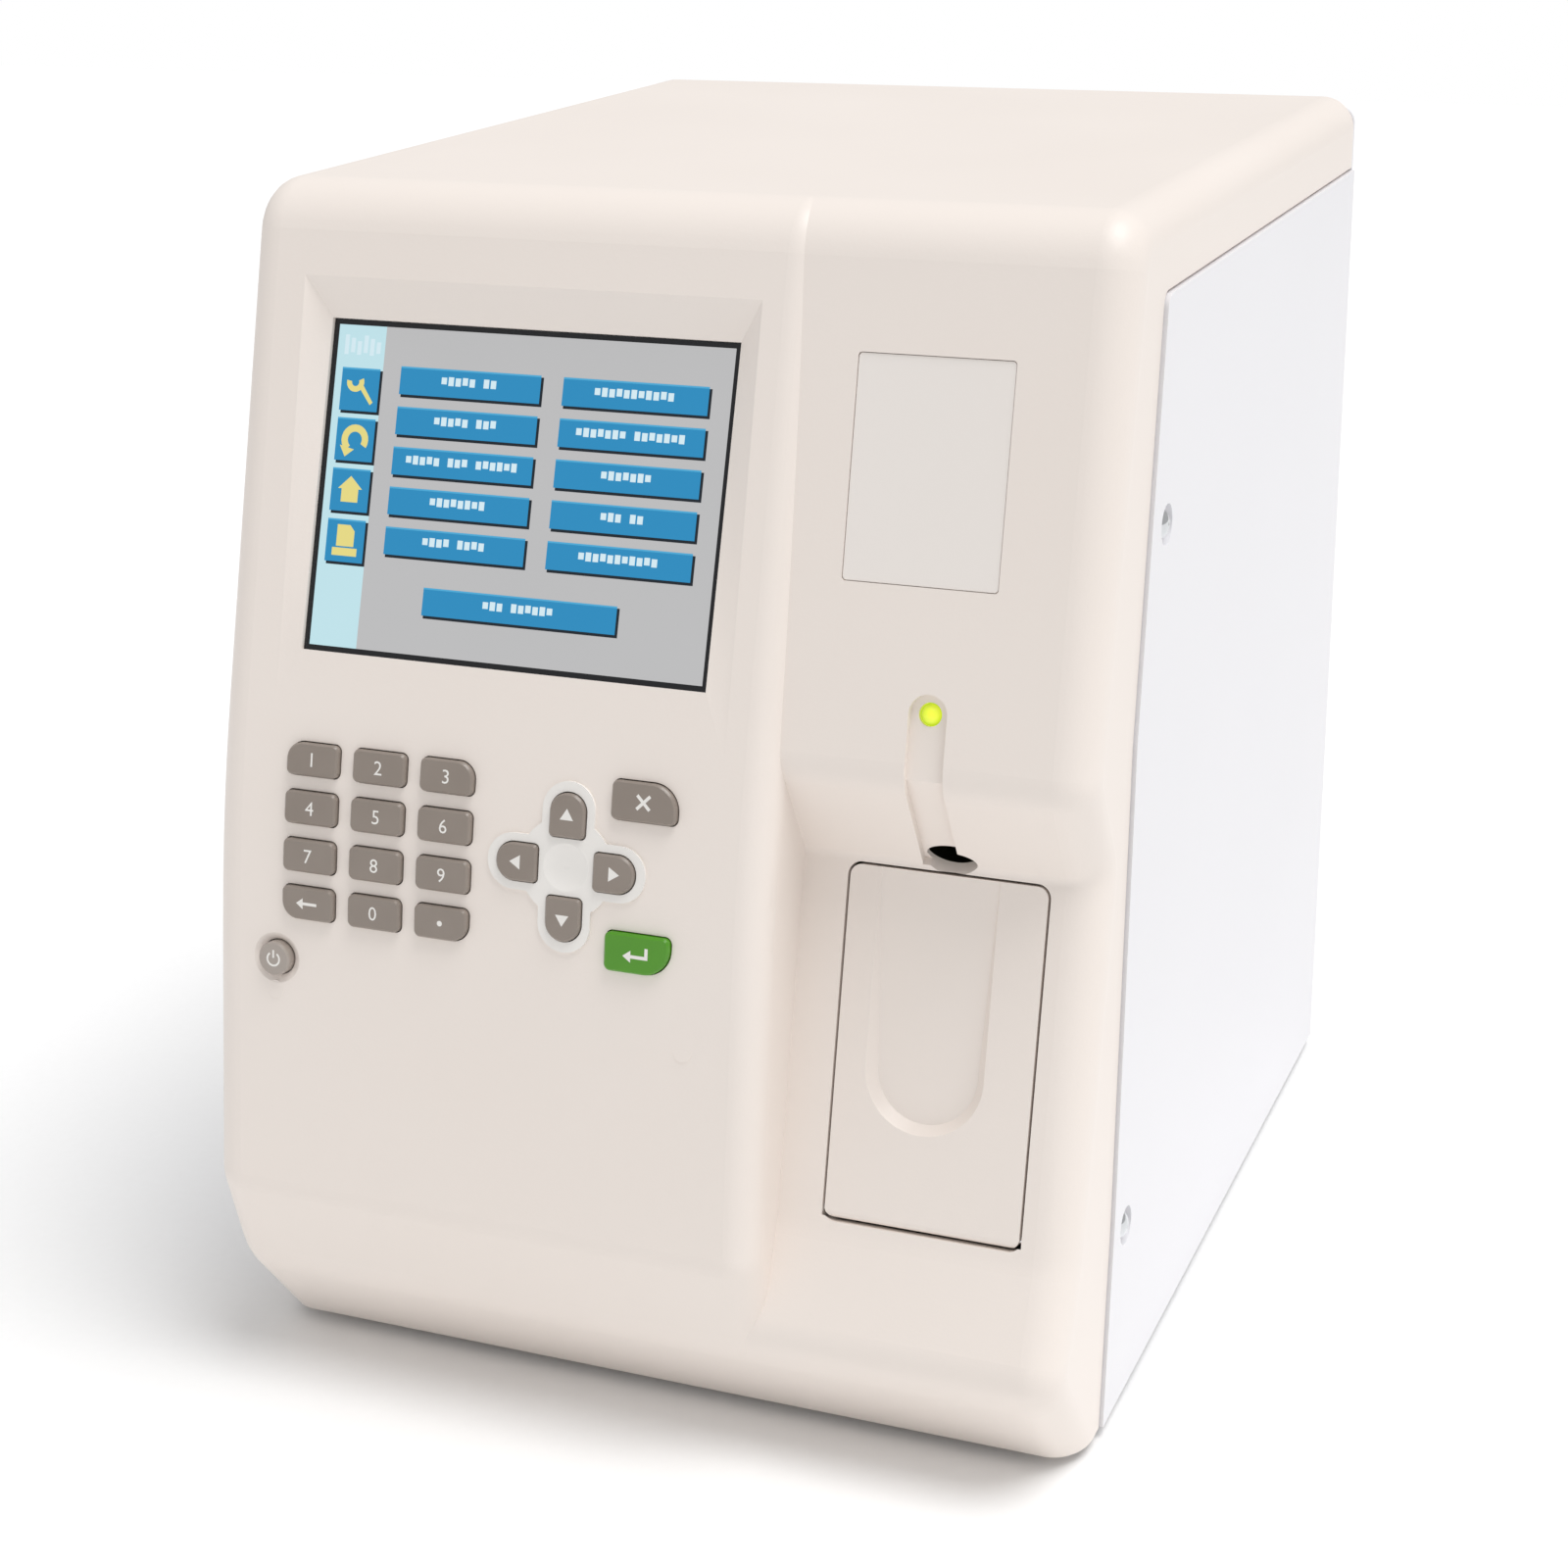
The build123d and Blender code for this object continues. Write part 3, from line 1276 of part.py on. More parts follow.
def build_fittings():
    """Barbed hose fittings for reagent and waste."""
    single = revolve(Plane.XZ * fitting_profile(), Axis.Z)
    turned = Rot(-90, 0, 0) * single
    return Compound([Pos(x, housing_rear, fitting_z) * turned for x in fitting_x])


# Small parts of the right column
def build_badge():
    """Plain plate, left bare."""
    room = 2 * badge_gap
    face = rounded_box(badge_width - room, badge_height - room, (badge_corner,) * 4)
    return sunk(right_front_frame(badge_x, badge_z), face, -badge_recess, badge_thickness - badge_recess)


def build_lamp():
    """Clear lamp with a domed front and a flange behind the wall."""
    frame = right_front_frame(lamp_x, lamp_z)
    ball = Pos(0, 0, lamp_rise - groove_depth - lamp_radius) * Sphere(lamp_radius)
    body = Pos(0, 0, -wall - lamp_flange) * extrude(Circle(lamp_radius), amount=wall + lamp_flange - groove_depth
                                                   + lamp_rise - lamp_radius)
    lamp = body + ball
    flange = Pos(0, 0, -wall - lamp_flange) * extrude(Circle(lamp_flange_radius), amount=lamp_flange)
    stem = Pos(0, 0, -wall - lamp_flange - lamp_back) * extrude(Circle(lamp_radius), amount=lamp_back)
    return frame * (lamp + flange + stem)


# Build every piece
keys = key_table()
pieces["hood"] = build_hood(keys)
pieces["side_panel_left"] = build_side_panel(-1)
pieces["side_panel_right"] = build_side_panel(1)
pieces["rear_panel"] = build_rear_panel()
pieces["base_pan"] = build_base_pan()
pieces["rubber_feet"] = build_feet()
pieces["side_panel_screws"] = build_side_screws()
pieces["rear_panel_screws"] = build_rear_screws()
pieces["touch_screen"] = sunk(lcd_frame, Rectangle(glass_width, glass_height), -glass_thickness, 0)
pieces["display_module"] = sunk(lcd_frame, Rectangle(module_width, module_height),
                                -glass_thickness - module_thickness, -glass_thickness)
pieces["keypad_board"] = build_keypad_board(keys)
pieces["arrow_surround"] = build_cross(keys)
pieces["badge_plate"] = build_badge()
pieces["status_lamp"] = build_lamp()
for name, frame, face in keys:
    pieces[name] = key_cap(frame, face)
pieces["sample_door"] = build_door()
pieces["door_hinge_pin"] = build_hinge_pin()
pieces["compartment_tray"] = build_tray()
pieces["tube_holder"] = build_tube_holder()
pieces["mounting_plate"] = build_mounting_plate()
pieces["lower_bracket"] = build_bracket(lower_bracket_z)
pieces["upper_bracket"] = build_bracket(upper_bracket_z)
pieces["guide_rods"] = build_guide_rods()
pieces["lead_screw"] = build_lead_screw()
pieces["lift_motor"] = build_lift_motor()
pieces["needle_carriage"] = build_carriage()
pieces["sampling_needle"] = build_needle()
pieces["rinse_block"] = build_rinse_block()
pieces["syringe_block"] = build_syringe_block()
pieces["syringe_pistons"] = build_pistons()
pieces["counting_chambers"] = build_cups()
pieces["valve_bank"] = build_valves()
pieces["pump_housing"] = build_pump_housing()
pieces["pump_rotor"] = build_pump_rotor()
pieces["main_board"] = build_main_board()
pieces["power_supply"] = build_power_supply()
pieces["fan_frame"] = build_fan_frame()
pieces["fan_rotor"] = build_fan_rotor()
pieces["power_inlet"] = build_power_inlet()
pieces["power_switch"] = build_rocker()
pieces["data_ports"] = build_ports()
pieces["reagent_fittings"] = build_fittings()

# Centre the whole part over the origin from front to back, then write one file for each piece
low_y = min(piece.bounding_box().min.Y for piece in pieces.values())
high_y = max(piece.bounding_box().max.Y for piece in pieces.values())
centring = -(low_y + high_y) / 2
os.makedirs("parts", exist_ok=True)
for name, piece in pieces.items():
    export_step(Pos(0, centring, 0) * piece, "parts/" + name + ".step")
print("pieces", len(pieces), "moved along Y by", round(centring, 3))
for name, frame, face in keys:
    place = frame.origin + Vector(0, centring, 0)
    normal = frame.z_dir
    print(name, [round(v, 2) for v in place], [round(v, 4) for v in normal])
hinge_place = door_frame.from_local_coords(Vector(0, -door_length / 2 + door_thickness / 2, -door_thickness / 2))
print("door hinge", [round(v, 2) for v in hinge_place + Vector(0, centring, 0)])
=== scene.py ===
"""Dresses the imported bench-top hematology analyzer.

The housing, keys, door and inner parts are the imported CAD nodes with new
materials. The picture on the display and the marks on the keys are added here
as thin surfaces. Sizes are written in millimetres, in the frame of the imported
model, and become metres where a mesh is made.
"""

import logging
import math
from dataclasses import dataclass, field
from enum import Enum
from typing import Iterable, Sequence

import bpy
import numpy as np
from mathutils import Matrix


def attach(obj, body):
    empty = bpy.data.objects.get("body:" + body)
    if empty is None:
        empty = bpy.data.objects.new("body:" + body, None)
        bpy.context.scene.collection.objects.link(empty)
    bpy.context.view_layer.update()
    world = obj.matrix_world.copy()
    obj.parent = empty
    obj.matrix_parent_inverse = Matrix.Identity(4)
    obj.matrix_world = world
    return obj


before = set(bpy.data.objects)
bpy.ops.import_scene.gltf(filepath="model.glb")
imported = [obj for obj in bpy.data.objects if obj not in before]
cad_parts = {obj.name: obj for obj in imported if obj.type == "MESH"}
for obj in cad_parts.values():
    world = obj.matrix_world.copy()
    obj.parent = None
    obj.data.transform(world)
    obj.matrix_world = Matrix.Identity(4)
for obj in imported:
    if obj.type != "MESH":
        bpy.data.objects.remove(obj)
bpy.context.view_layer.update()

MM = 0.001
LOG = logging.getLogger("analyzer")

# Octaves of a noise pattern
SOFT_NOISE, PLAIN_NOISE, FINE_NOISE = 1.0, 2.0, 3.0

# Sockets of the Mix node when it mixes two colours
MIX_FACTOR, MIX_FIRST, MIX_SECOND, MIX_RESULT = 0, 6, 7, 2

Colour = tuple[float, float, float, float]
Socket = bpy.types.NodeSocket
Mesh = tuple[np.ndarray, list[list[int]]]
Box = tuple[float, float, float, float]


def linear(hex_colour: str) -> Colour:
    """Turns an sRGB hex colour into linear light.

    Near black a channel is divided by 12.92. Above that it is 0.055 added,
    divided by 1.055, to the power of 2.4.

    Args:
        hex_colour: colour as "#RRGGBB".

    Returns:
        Linear red, green, blue and an alpha of one.
    """
    channels = [int(hex_colour[i:i + 2], 16) / 255 for i in (1, 3, 5)]
    curve = [c / 12.92 if c <= 0.04045 else ((c + 0.055) / 1.055) ** 2.4 for c in channels]
    return (curve[0], curve[1], curve[2], 1.0)


def scaled(colour: Colour, share: float) -> Colour:
    """Makes a linear colour darker: each channel times the share."""
    return (colour[0] * share, colour[1] * share, colour[2] * share, 1.0)


def per_metre(size_mm: float) -> float:
    """Noise scale whose features measure about size_mm on the object."""
    return 1.0 / (size_mm * MM)


def add_node(tree: bpy.types.NodeTree, kind: str, settings: dict | None = None,
             inputs: dict | None = None, links: dict | None = None) -> bpy.types.Node:
    """Adds one shader node with its settings and links.

    Args:
        tree: the material's node tree.
        kind: Blender's name for the node type.
        settings: properties of the node, by name.
        inputs: constant values of its sockets, by name or number.
        links: output sockets that feed its input sockets, by name or number.

    Returns:
        The new node.
    """
    node = tree.nodes.new(kind)
    for name, value in (settings or {}).items():
        setattr(node, name, value)
    for name, value in (inputs or {}).items():
        node.inputs[name].default_value = value
    for name, socket in (links or {}).items():
        tree.links.new(socket, node.inputs[name])
    return node


def new_tree(name: str) -> tuple[bpy.types.Material, bpy.types.NodeTree, Socket]:
    """Starts a material with object coordinates.

    Args:
        name: name of the material.

    Returns:
        The material, its node tree and the socket with the object coordinates.
    """
    material = bpy.data.materials.new(name)
    material.use_nodes = True
    tree = material.node_tree
    tree.nodes.clear()
    return material, tree, add_node(tree, "ShaderNodeTexCoord").outputs["Object"]


def drifting_colour(tree: bpy.types.NodeTree, where: Socket, colours: tuple[Colour, Colour], size_mm: float,
                    octaves: float = PLAIN_NOISE) -> tuple[Socket, Socket]:
    """Mixes two colours by a slow noise.

    Args:
        tree: the material's node tree.
        where: socket with the object coordinates.
        colours: the two colours.
        size_mm: size of the drifts on the object.
        octaves: octaves of the noise.

    Returns:
        The sockets of the noise and of the mixed colour.
    """
    noise = add_node(tree, "ShaderNodeTexNoise", {}, {"Scale": per_metre(size_mm), "Detail": octaves},
                     {"Vector": where})
    tint = add_node(tree, "ShaderNodeMix", {"data_type": "RGBA"},
                    {MIX_FIRST: colours[0], MIX_SECOND: colours[1]}, {MIX_FACTOR: noise.outputs["Fac"]})
    return noise.outputs["Fac"], tint.outputs[MIX_RESULT]


class Sheen(Enum):
    """Middle roughness of a moulded surface, from dull to bright."""

    MATT = 0.62
    SATIN = 0.42
    SOFT_GLOSS = 0.3
    GLOSSY = 0.18


@dataclass(frozen=True)
class MouldedPlastic:
    """Injection-moulded ABS or a like plastic with a fine spark-eroded grain.

    The mould's grain scatters the light softly, and slow drifts in the
    pigment and in the polish keep a large face from looking flat.
    """

    name: str
    colour: str
    drift_colour: str
    sheen: Sheen = Sheen.SATIN
    grain_mm: float = 0.9
    grain_strength: float = 0.12
    drift_mm: float = 90.0
    grain_height_mm: float = 0.2
    brighter: float = 0.05
    duller: float = 0.06
    ior: float = 1.52

    def build(self) -> bpy.types.Material:
        """Makes the material.

        Returns:
            The finished material.
        """
        material, tree, where = new_tree(self.name)
        colours = (linear(self.colour), linear(self.drift_colour))
        drift, tint = drifting_colour(tree, where, colours, self.drift_mm)
        polish = add_node(tree, "ShaderNodeMapRange", {},
                          {"To Min": self.sheen.value - self.brighter,
                           "To Max": self.sheen.value + self.duller},
                          {"Value": drift})
        # The real grain is about 0.1 mm; it is drawn coarser so that it shows.
        grain = add_node(tree, "ShaderNodeTexNoise", {},
                         {"Scale": per_metre(self.grain_mm), "Detail": FINE_NOISE}, {"Vector": where})
        bump = add_node(tree, "ShaderNodeBump", {},
                        {"Strength": self.grain_strength, "Distance": self.grain_height_mm * MM},
                        {"Height": grain.outputs["Fac"]})
        shader = add_node(tree, "ShaderNodeBsdfPrincipled", {}, {"IOR": self.ior},
                          {"Base Color": tint, "Roughness": polish.outputs["Result"],
                           "Normal": bump.outputs["Normal"]})
        add_node(tree, "ShaderNodeOutputMaterial", {}, {}, {"Surface": shader.outputs["BSDF"]})
        return material


@dataclass(frozen=True)
class PowderPaint:
    """Polyester powder coat on steel sheet.

    The melted powder leaves a slight orange peel a millimetre or two across.
    """

    name: str
    colour: str
    drift_colour: str
    roughness: float = 0.38
    peel_mm: float = 1.6
    peel_strength: float = 0.10
    drift_mm: float = 120.0
    peel_height_mm: float = 0.3
    ior: float = 1.5

    def build(self) -> bpy.types.Material:
        """Makes the material.

        Returns:
            The finished material.
        """
        material, tree, where = new_tree(self.name)
        colours = (linear(self.colour), linear(self.drift_colour))
        tint = drifting_colour(tree, where, colours, self.drift_mm)[1]
        peel = add_node(tree, "ShaderNodeTexNoise", {},
                        {"Scale": per_metre(self.peel_mm), "Detail": SOFT_NOISE}, {"Vector": where})
        bump = add_node(tree, "ShaderNodeBump", {},
                        {"Strength": self.peel_strength, "Distance": self.peel_height_mm * MM},
                        {"Height": peel.outputs["Fac"]})
        shader = add_node(tree, "ShaderNodeBsdfPrincipled", {},
                          {"Roughness": self.roughness, "IOR": self.ior},
                          {"Base Color": tint, "Normal": bump.outputs["Normal"]})
        add_node(tree, "ShaderNodeOutputMaterial", {}, {}, {"Surface": shader.outputs["BSDF"]})
        return material


@dataclass(frozen=True)
class WorkedMetal:
    """Bare or plated metal with the fine lines of rolling, turning or grinding."""

    name: str
    colour: str
    roughness: float
    line_mm: float = 0.5
    stretch: tuple[float, float, float] = (1.0, 1.0, 0.05)
    line_strength: float = 0.08
    line_height_mm: float = 0.1
    brighter: float = 0.8
    duller: float = 1.25

    def build(self) -> bpy.types.Material:
        """Makes the material.

        Returns:
            The finished material.
        """
        material, tree, where = new_tree(self.name)
        grain = add_node(tree, "ShaderNodeMapping", {}, {"Scale": self.stretch}, {"Vector": where})
        lines = add_node(tree, "ShaderNodeTexNoise", {},
                         {"Scale": per_metre(self.line_mm), "Detail": PLAIN_NOISE},
                         {"Vector": grain.outputs["Vector"]})
        polish = add_node(tree, "ShaderNodeMapRange", {},
                          {"To Min": self.roughness * self.brighter, "To Max": self.roughness * self.duller},
                          {"Value": lines.outputs["Fac"]})
        bump = add_node(tree, "ShaderNodeBump", {},
                        {"Strength": self.line_strength, "Distance": self.line_height_mm * MM},
                        {"Height": lines.outputs["Fac"]})
        shader = add_node(tree, "ShaderNodeBsdfPrincipled", {},
                          {"Base Color": linear(self.colour), "Metallic": 1.0},
                          {"Roughness": polish.outputs["Result"], "Normal": bump.outputs["Normal"]})
        add_node(tree, "ShaderNodeOutputMaterial", {}, {}, {"Surface": shader.outputs["BSDF"]})
        return material


@dataclass(frozen=True)
class ClearPlastic:
    """Machined acrylic: clear, with faint tool marks that dull its faces."""

    name: str
    colour: str
    roughness: float = 0.12
    transmission: float = 0.75
    mark_mm: float = 2.0
    brighter: float = 0.6
    duller: float = 1.6
    ior: float = 1.49

    def build(self) -> bpy.types.Material:
        """Makes the material.

        Returns:
            The finished material.
        """
        material, tree, where = new_tree(self.name)
        marks = add_node(tree, "ShaderNodeTexNoise", {},
                         {"Scale": per_metre(self.mark_mm), "Detail": FINE_NOISE}, {"Vector": where})
        polish = add_node(tree, "ShaderNodeMapRange", {},
                          {"To Min": self.roughness * self.brighter, "To Max": self.roughness * self.duller},
                          {"Value": marks.outputs["Fac"]})
        shader = add_node(tree, "ShaderNodeBsdfPrincipled", {},
                          {"Base Color": linear(self.colour), "IOR": self.ior,
                           "Transmission Weight": self.transmission},
                          {"Roughness": polish.outputs["Result"]})
        add_node(tree, "ShaderNodeOutputMaterial", {}, {}, {"Surface": shader.outputs["BSDF"]})
        return material


@dataclass(frozen=True)
class CircuitBoard:
    """Glass-epoxy board under green solder mask, with a faint pattern of copper tracks."""

    name: str
    mask: str = "#0E5A2A"
    track: str = "#1B7A3C"
    track_mm: float = 3.0
    tracks_per_unit: float = 4.0
    gap: float = 0.03
    roughness: float = 0.35
    ior: float = 1.5

    def build(self) -> bpy.types.Material:
        """Makes the material.

        Returns:
            The finished material.
        """
        material, tree, where = new_tree(self.name)
        cells = add_node(tree, "ShaderNodeTexBrick", {},
                         {"Color1": linear(self.mask), "Color2": linear(self.mask),
                          "Mortar": linear(self.track), "Mortar Size": self.gap,
                          "Scale": per_metre(self.track_mm * self.tracks_per_unit)},
                         {"Vector": where})
        shader = add_node(tree, "ShaderNodeBsdfPrincipled", {},
                          {"Roughness": self.roughness, "IOR": self.ior},
                          {"Base Color": cells.outputs["Color"]})
        add_node(tree, "ShaderNodeOutputMaterial", {}, {}, {"Surface": shader.outputs["BSDF"]})
        return material


@dataclass(frozen=True)
class LitColour:
    """Lit liquid crystal that gives off its own colour under a smooth cover."""

    name: str
    colour: str
    glow: float
    roughness: float = 0.3
    mottle: float = 0.04
    mottle_mm: float = 35.0
    unlit_share: float = 0.12
    ior: float = 1.45

    def build(self) -> bpy.types.Material:
        """Makes the material.

        Returns:
            The finished material.
        """
        material, tree, where = new_tree(self.name)
        colour = linear(self.colour)
        tint = drifting_colour(tree, where, (colour, scaled(colour, 1.0 - self.mottle)), self.mottle_mm,
                               SOFT_NOISE)[1]
        shader = add_node(tree, "ShaderNodeBsdfPrincipled", {},
                          {"Base Color": scaled(colour, self.unlit_share), "Roughness": self.roughness,
                           "IOR": self.ior, "Emission Strength": self.glow},
                          {"Emission Color": tint})
        add_node(tree, "ShaderNodeOutputMaterial", {}, {}, {"Surface": shader.outputs["BSDF"]})
        return material


@dataclass(frozen=True)
class LampLens:
    """Diffusing acrylic lens over a lit diode: pale in the middle, greener towards its rim."""

    name: str
    middle: str
    rim: str
    glow: float = 0.7
    rim_share: float = 0.45
    cloud_mm: float = 1.5
    brightest: float = 0.08
    dullest: float = 0.2
    ior: float = 1.49

    def build(self) -> bpy.types.Material:
        """Makes the material.

        Returns:
            The finished material.
        """
        material, tree, where = new_tree(self.name)
        facing = add_node(tree, "ShaderNodeLayerWeight", {}, {"Blend": self.rim_share})
        tint = add_node(tree, "ShaderNodeMix", {"data_type": "RGBA"},
                        {MIX_FIRST: linear(self.middle), MIX_SECOND: linear(self.rim)},
                        {MIX_FACTOR: facing.outputs["Facing"]})
        cloud = add_node(tree, "ShaderNodeTexNoise", {},
                         {"Scale": per_metre(self.cloud_mm), "Detail": SOFT_NOISE}, {"Vector": where})
        polish = add_node(tree, "ShaderNodeMapRange", {}, {"To Min": self.brightest, "To Max": self.dullest},
                          {"Value": cloud.outputs["Fac"]})
        shader = add_node(tree, "ShaderNodeBsdfPrincipled", {},
                          {"IOR": self.ior, "Emission Strength": self.glow},
                          {"Base Color": tint.outputs[MIX_RESULT], "Emission Color": tint.outputs[MIX_RESULT],
                           "Roughness": polish.outputs["Result"]})
        add_node(tree, "ShaderNodeOutputMaterial", {}, {}, {"Surface": shader.outputs["BSDF"]})
        return material


@dataclass(frozen=True)
class Slope:
    """A place on the front, with the slope's lean back from upright in degrees."""

    x: float
    y: float
    z: float
    lean: float

    def to_world(self, points: np.ndarray) -> np.ndarray:
        """Places points given along u, v and w.

        A point is origin + u right + v up the slope + w along the outward
        normal, the slope leaning back by self.lean degrees.

        Args:
            points: array (n, 3) in millimetres.

        Returns:
            Array (n, 3) in metres in the model's frame.
        """
        angle = math.radians(self.lean)
        right = np.array([1.0, 0.0, 0.0])
        up = np.array([0.0, math.sin(angle), math.cos(angle)])
        out = np.array([0.0, -math.cos(angle), math.sin(angle)])
        origin = np.array([self.x, self.y, self.z])
        placed = origin + points[:, :1] * right + points[:, 1:2] * up + points[:, 2:3] * out
        return placed * MM


@dataclass(frozen=True)
class FrontBend:
    """The left column's front: a straight upper lean, a long arc and a straight lower lean.

    The corner is where the two straight lines would meet, before the whole
    model was moved along Y to put the middle of its box on the origin.
    """

    upper_lean: float = 15.666
    lower_lean: float = 8.279
    corner: tuple[float, float] = (-144.5, 162.4)
    radius: float = 470.0
    moved: float = -6.174

    def at(self, x: float, z: float) -> Slope:
        """Finds the place on the front at a height.

        The arc touches both straight lines, so its centre lies one radius
        behind the point where the upper line ends. On the arc the lean is
        asin of the height above the centre over the radius.

        Args:
            x: place to the right, in millimetres.
            z: height, in millimetres.

        Returns:
            The place with its lean.
        """
        upper = math.radians(self.upper_lean)
        lower = math.radians(self.lower_lean)
        reach = self.radius * math.tan((upper - lower) / 2)
        start_y = self.corner[0] + reach * math.sin(upper)
        start_z = self.corner[1] + reach * math.cos(upper)
        centre_y = start_y + self.radius * math.cos(upper)
        centre_z = start_z - self.radius * math.sin(upper)
        stop_z = centre_z + self.radius * math.sin(lower)
        if z > start_z:
            return Slope(x, start_y + (z - start_z) * math.tan(upper) + self.moved, z, self.upper_lean)
        if z < stop_z:
            stop_y = centre_y - self.radius * math.cos(lower)
            return Slope(x, stop_y + (z - stop_z) * math.tan(lower) + self.moved, z, self.lower_lean)
        angle = math.asin((z - centre_z) / self.radius)
        return Slope(x, centre_y - self.radius * math.cos(angle) + self.moved, z, math.degrees(angle))


def make_piece(name: str, shape: Mesh, material: bpy.types.Material, body: str) -> bpy.types.Object:
    """Makes one mesh object that rides on a body.

    Args:
        name: name of the piece.
        shape: vertices (n, 3) in metres in the model's frame, and the corner
            numbers of each face, anticlockwise seen from outside.
        material: its finish.
        body: CAD body that carries it.

    Returns:
        The new object.
    """
    vertices, faces = shape
    mesh = bpy.data.meshes.new(name)
    mesh.from_pydata(vertices.tolist(), [], faces)
    mesh.materials.append(material)
    mesh.update()
    piece = bpy.data.objects.new(name, mesh)
    bpy.context.collection.objects.link(piece)
    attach(piece, body)
    LOG.info("%s: %d faces on %s", name, len(faces), body)
    return piece


def prism(outline: np.ndarray, low: float, high: float) -> Mesh:
    """Closed prism between two heights over a flat outline.

    Side i joins corners i and i + 1 of the back to the same corners of the front.

    Args:
        outline: array (n, 2), anticlockwise, in millimetres.
        low: height of the back face.
        high: height of the front face.

    Returns:
        Vertices (2n, 3) and faces.
    """
    count = len(outline)
    back = np.column_stack([outline, np.full(count, low)])
    front = np.column_stack([outline, np.full(count, high)])
    corner = np.arange(count)
    following = np.roll(corner, -1)
    sides = np.column_stack([corner, following, following + count, corner + count])
    faces = [corner[::-1].tolist(), (corner + count).tolist()] + sides.tolist()
    return np.vstack([back, front]), faces


def merged(prisms: Iterable[Mesh]) -> Mesh:
    """Joins several prisms into one set of vertices and faces.

    Args:
        prisms: pairs of vertices and faces.

    Returns:
        All vertices and all faces, renumbered.
    """
    vertices: list[np.ndarray] = []
    faces: list[list[int]] = []
    start = 0
    for points, polygons in prisms:
        vertices.append(points)
        faces.extend([[corner + start for corner in polygon] for polygon in polygons])
        start += len(points)
    return np.vstack(vertices), faces


def rectangle(left: float, bottom: float, right: float, top: float) -> np.ndarray:
    """Outline of an upright rectangle, anticlockwise."""
    return np.array([(left, bottom), (right, bottom), (right, top), (left, top)])


def arc(centre: tuple[float, float], radius: float, start: float, stop: float, count: int) -> np.ndarray:
    """Points on a circle between two angles in degrees: centre + radius (cos, sin)."""
    angles = np.radians(np.linspace(start, stop, count))
    return np.column_stack([centre[0] + radius * np.cos(angles), centre[1] + radius * np.sin(angles)])


def open_ring(centre: tuple[float, float], outer: float, inner: float, start: float, stop: float,
              count: int) -> np.ndarray:
    """Outline of a ring with a gap: out along the outer arc and back along the inner one."""
    return np.vstack([arc(centre, outer, start, stop, count), arc(centre, inner, stop, start, count)])


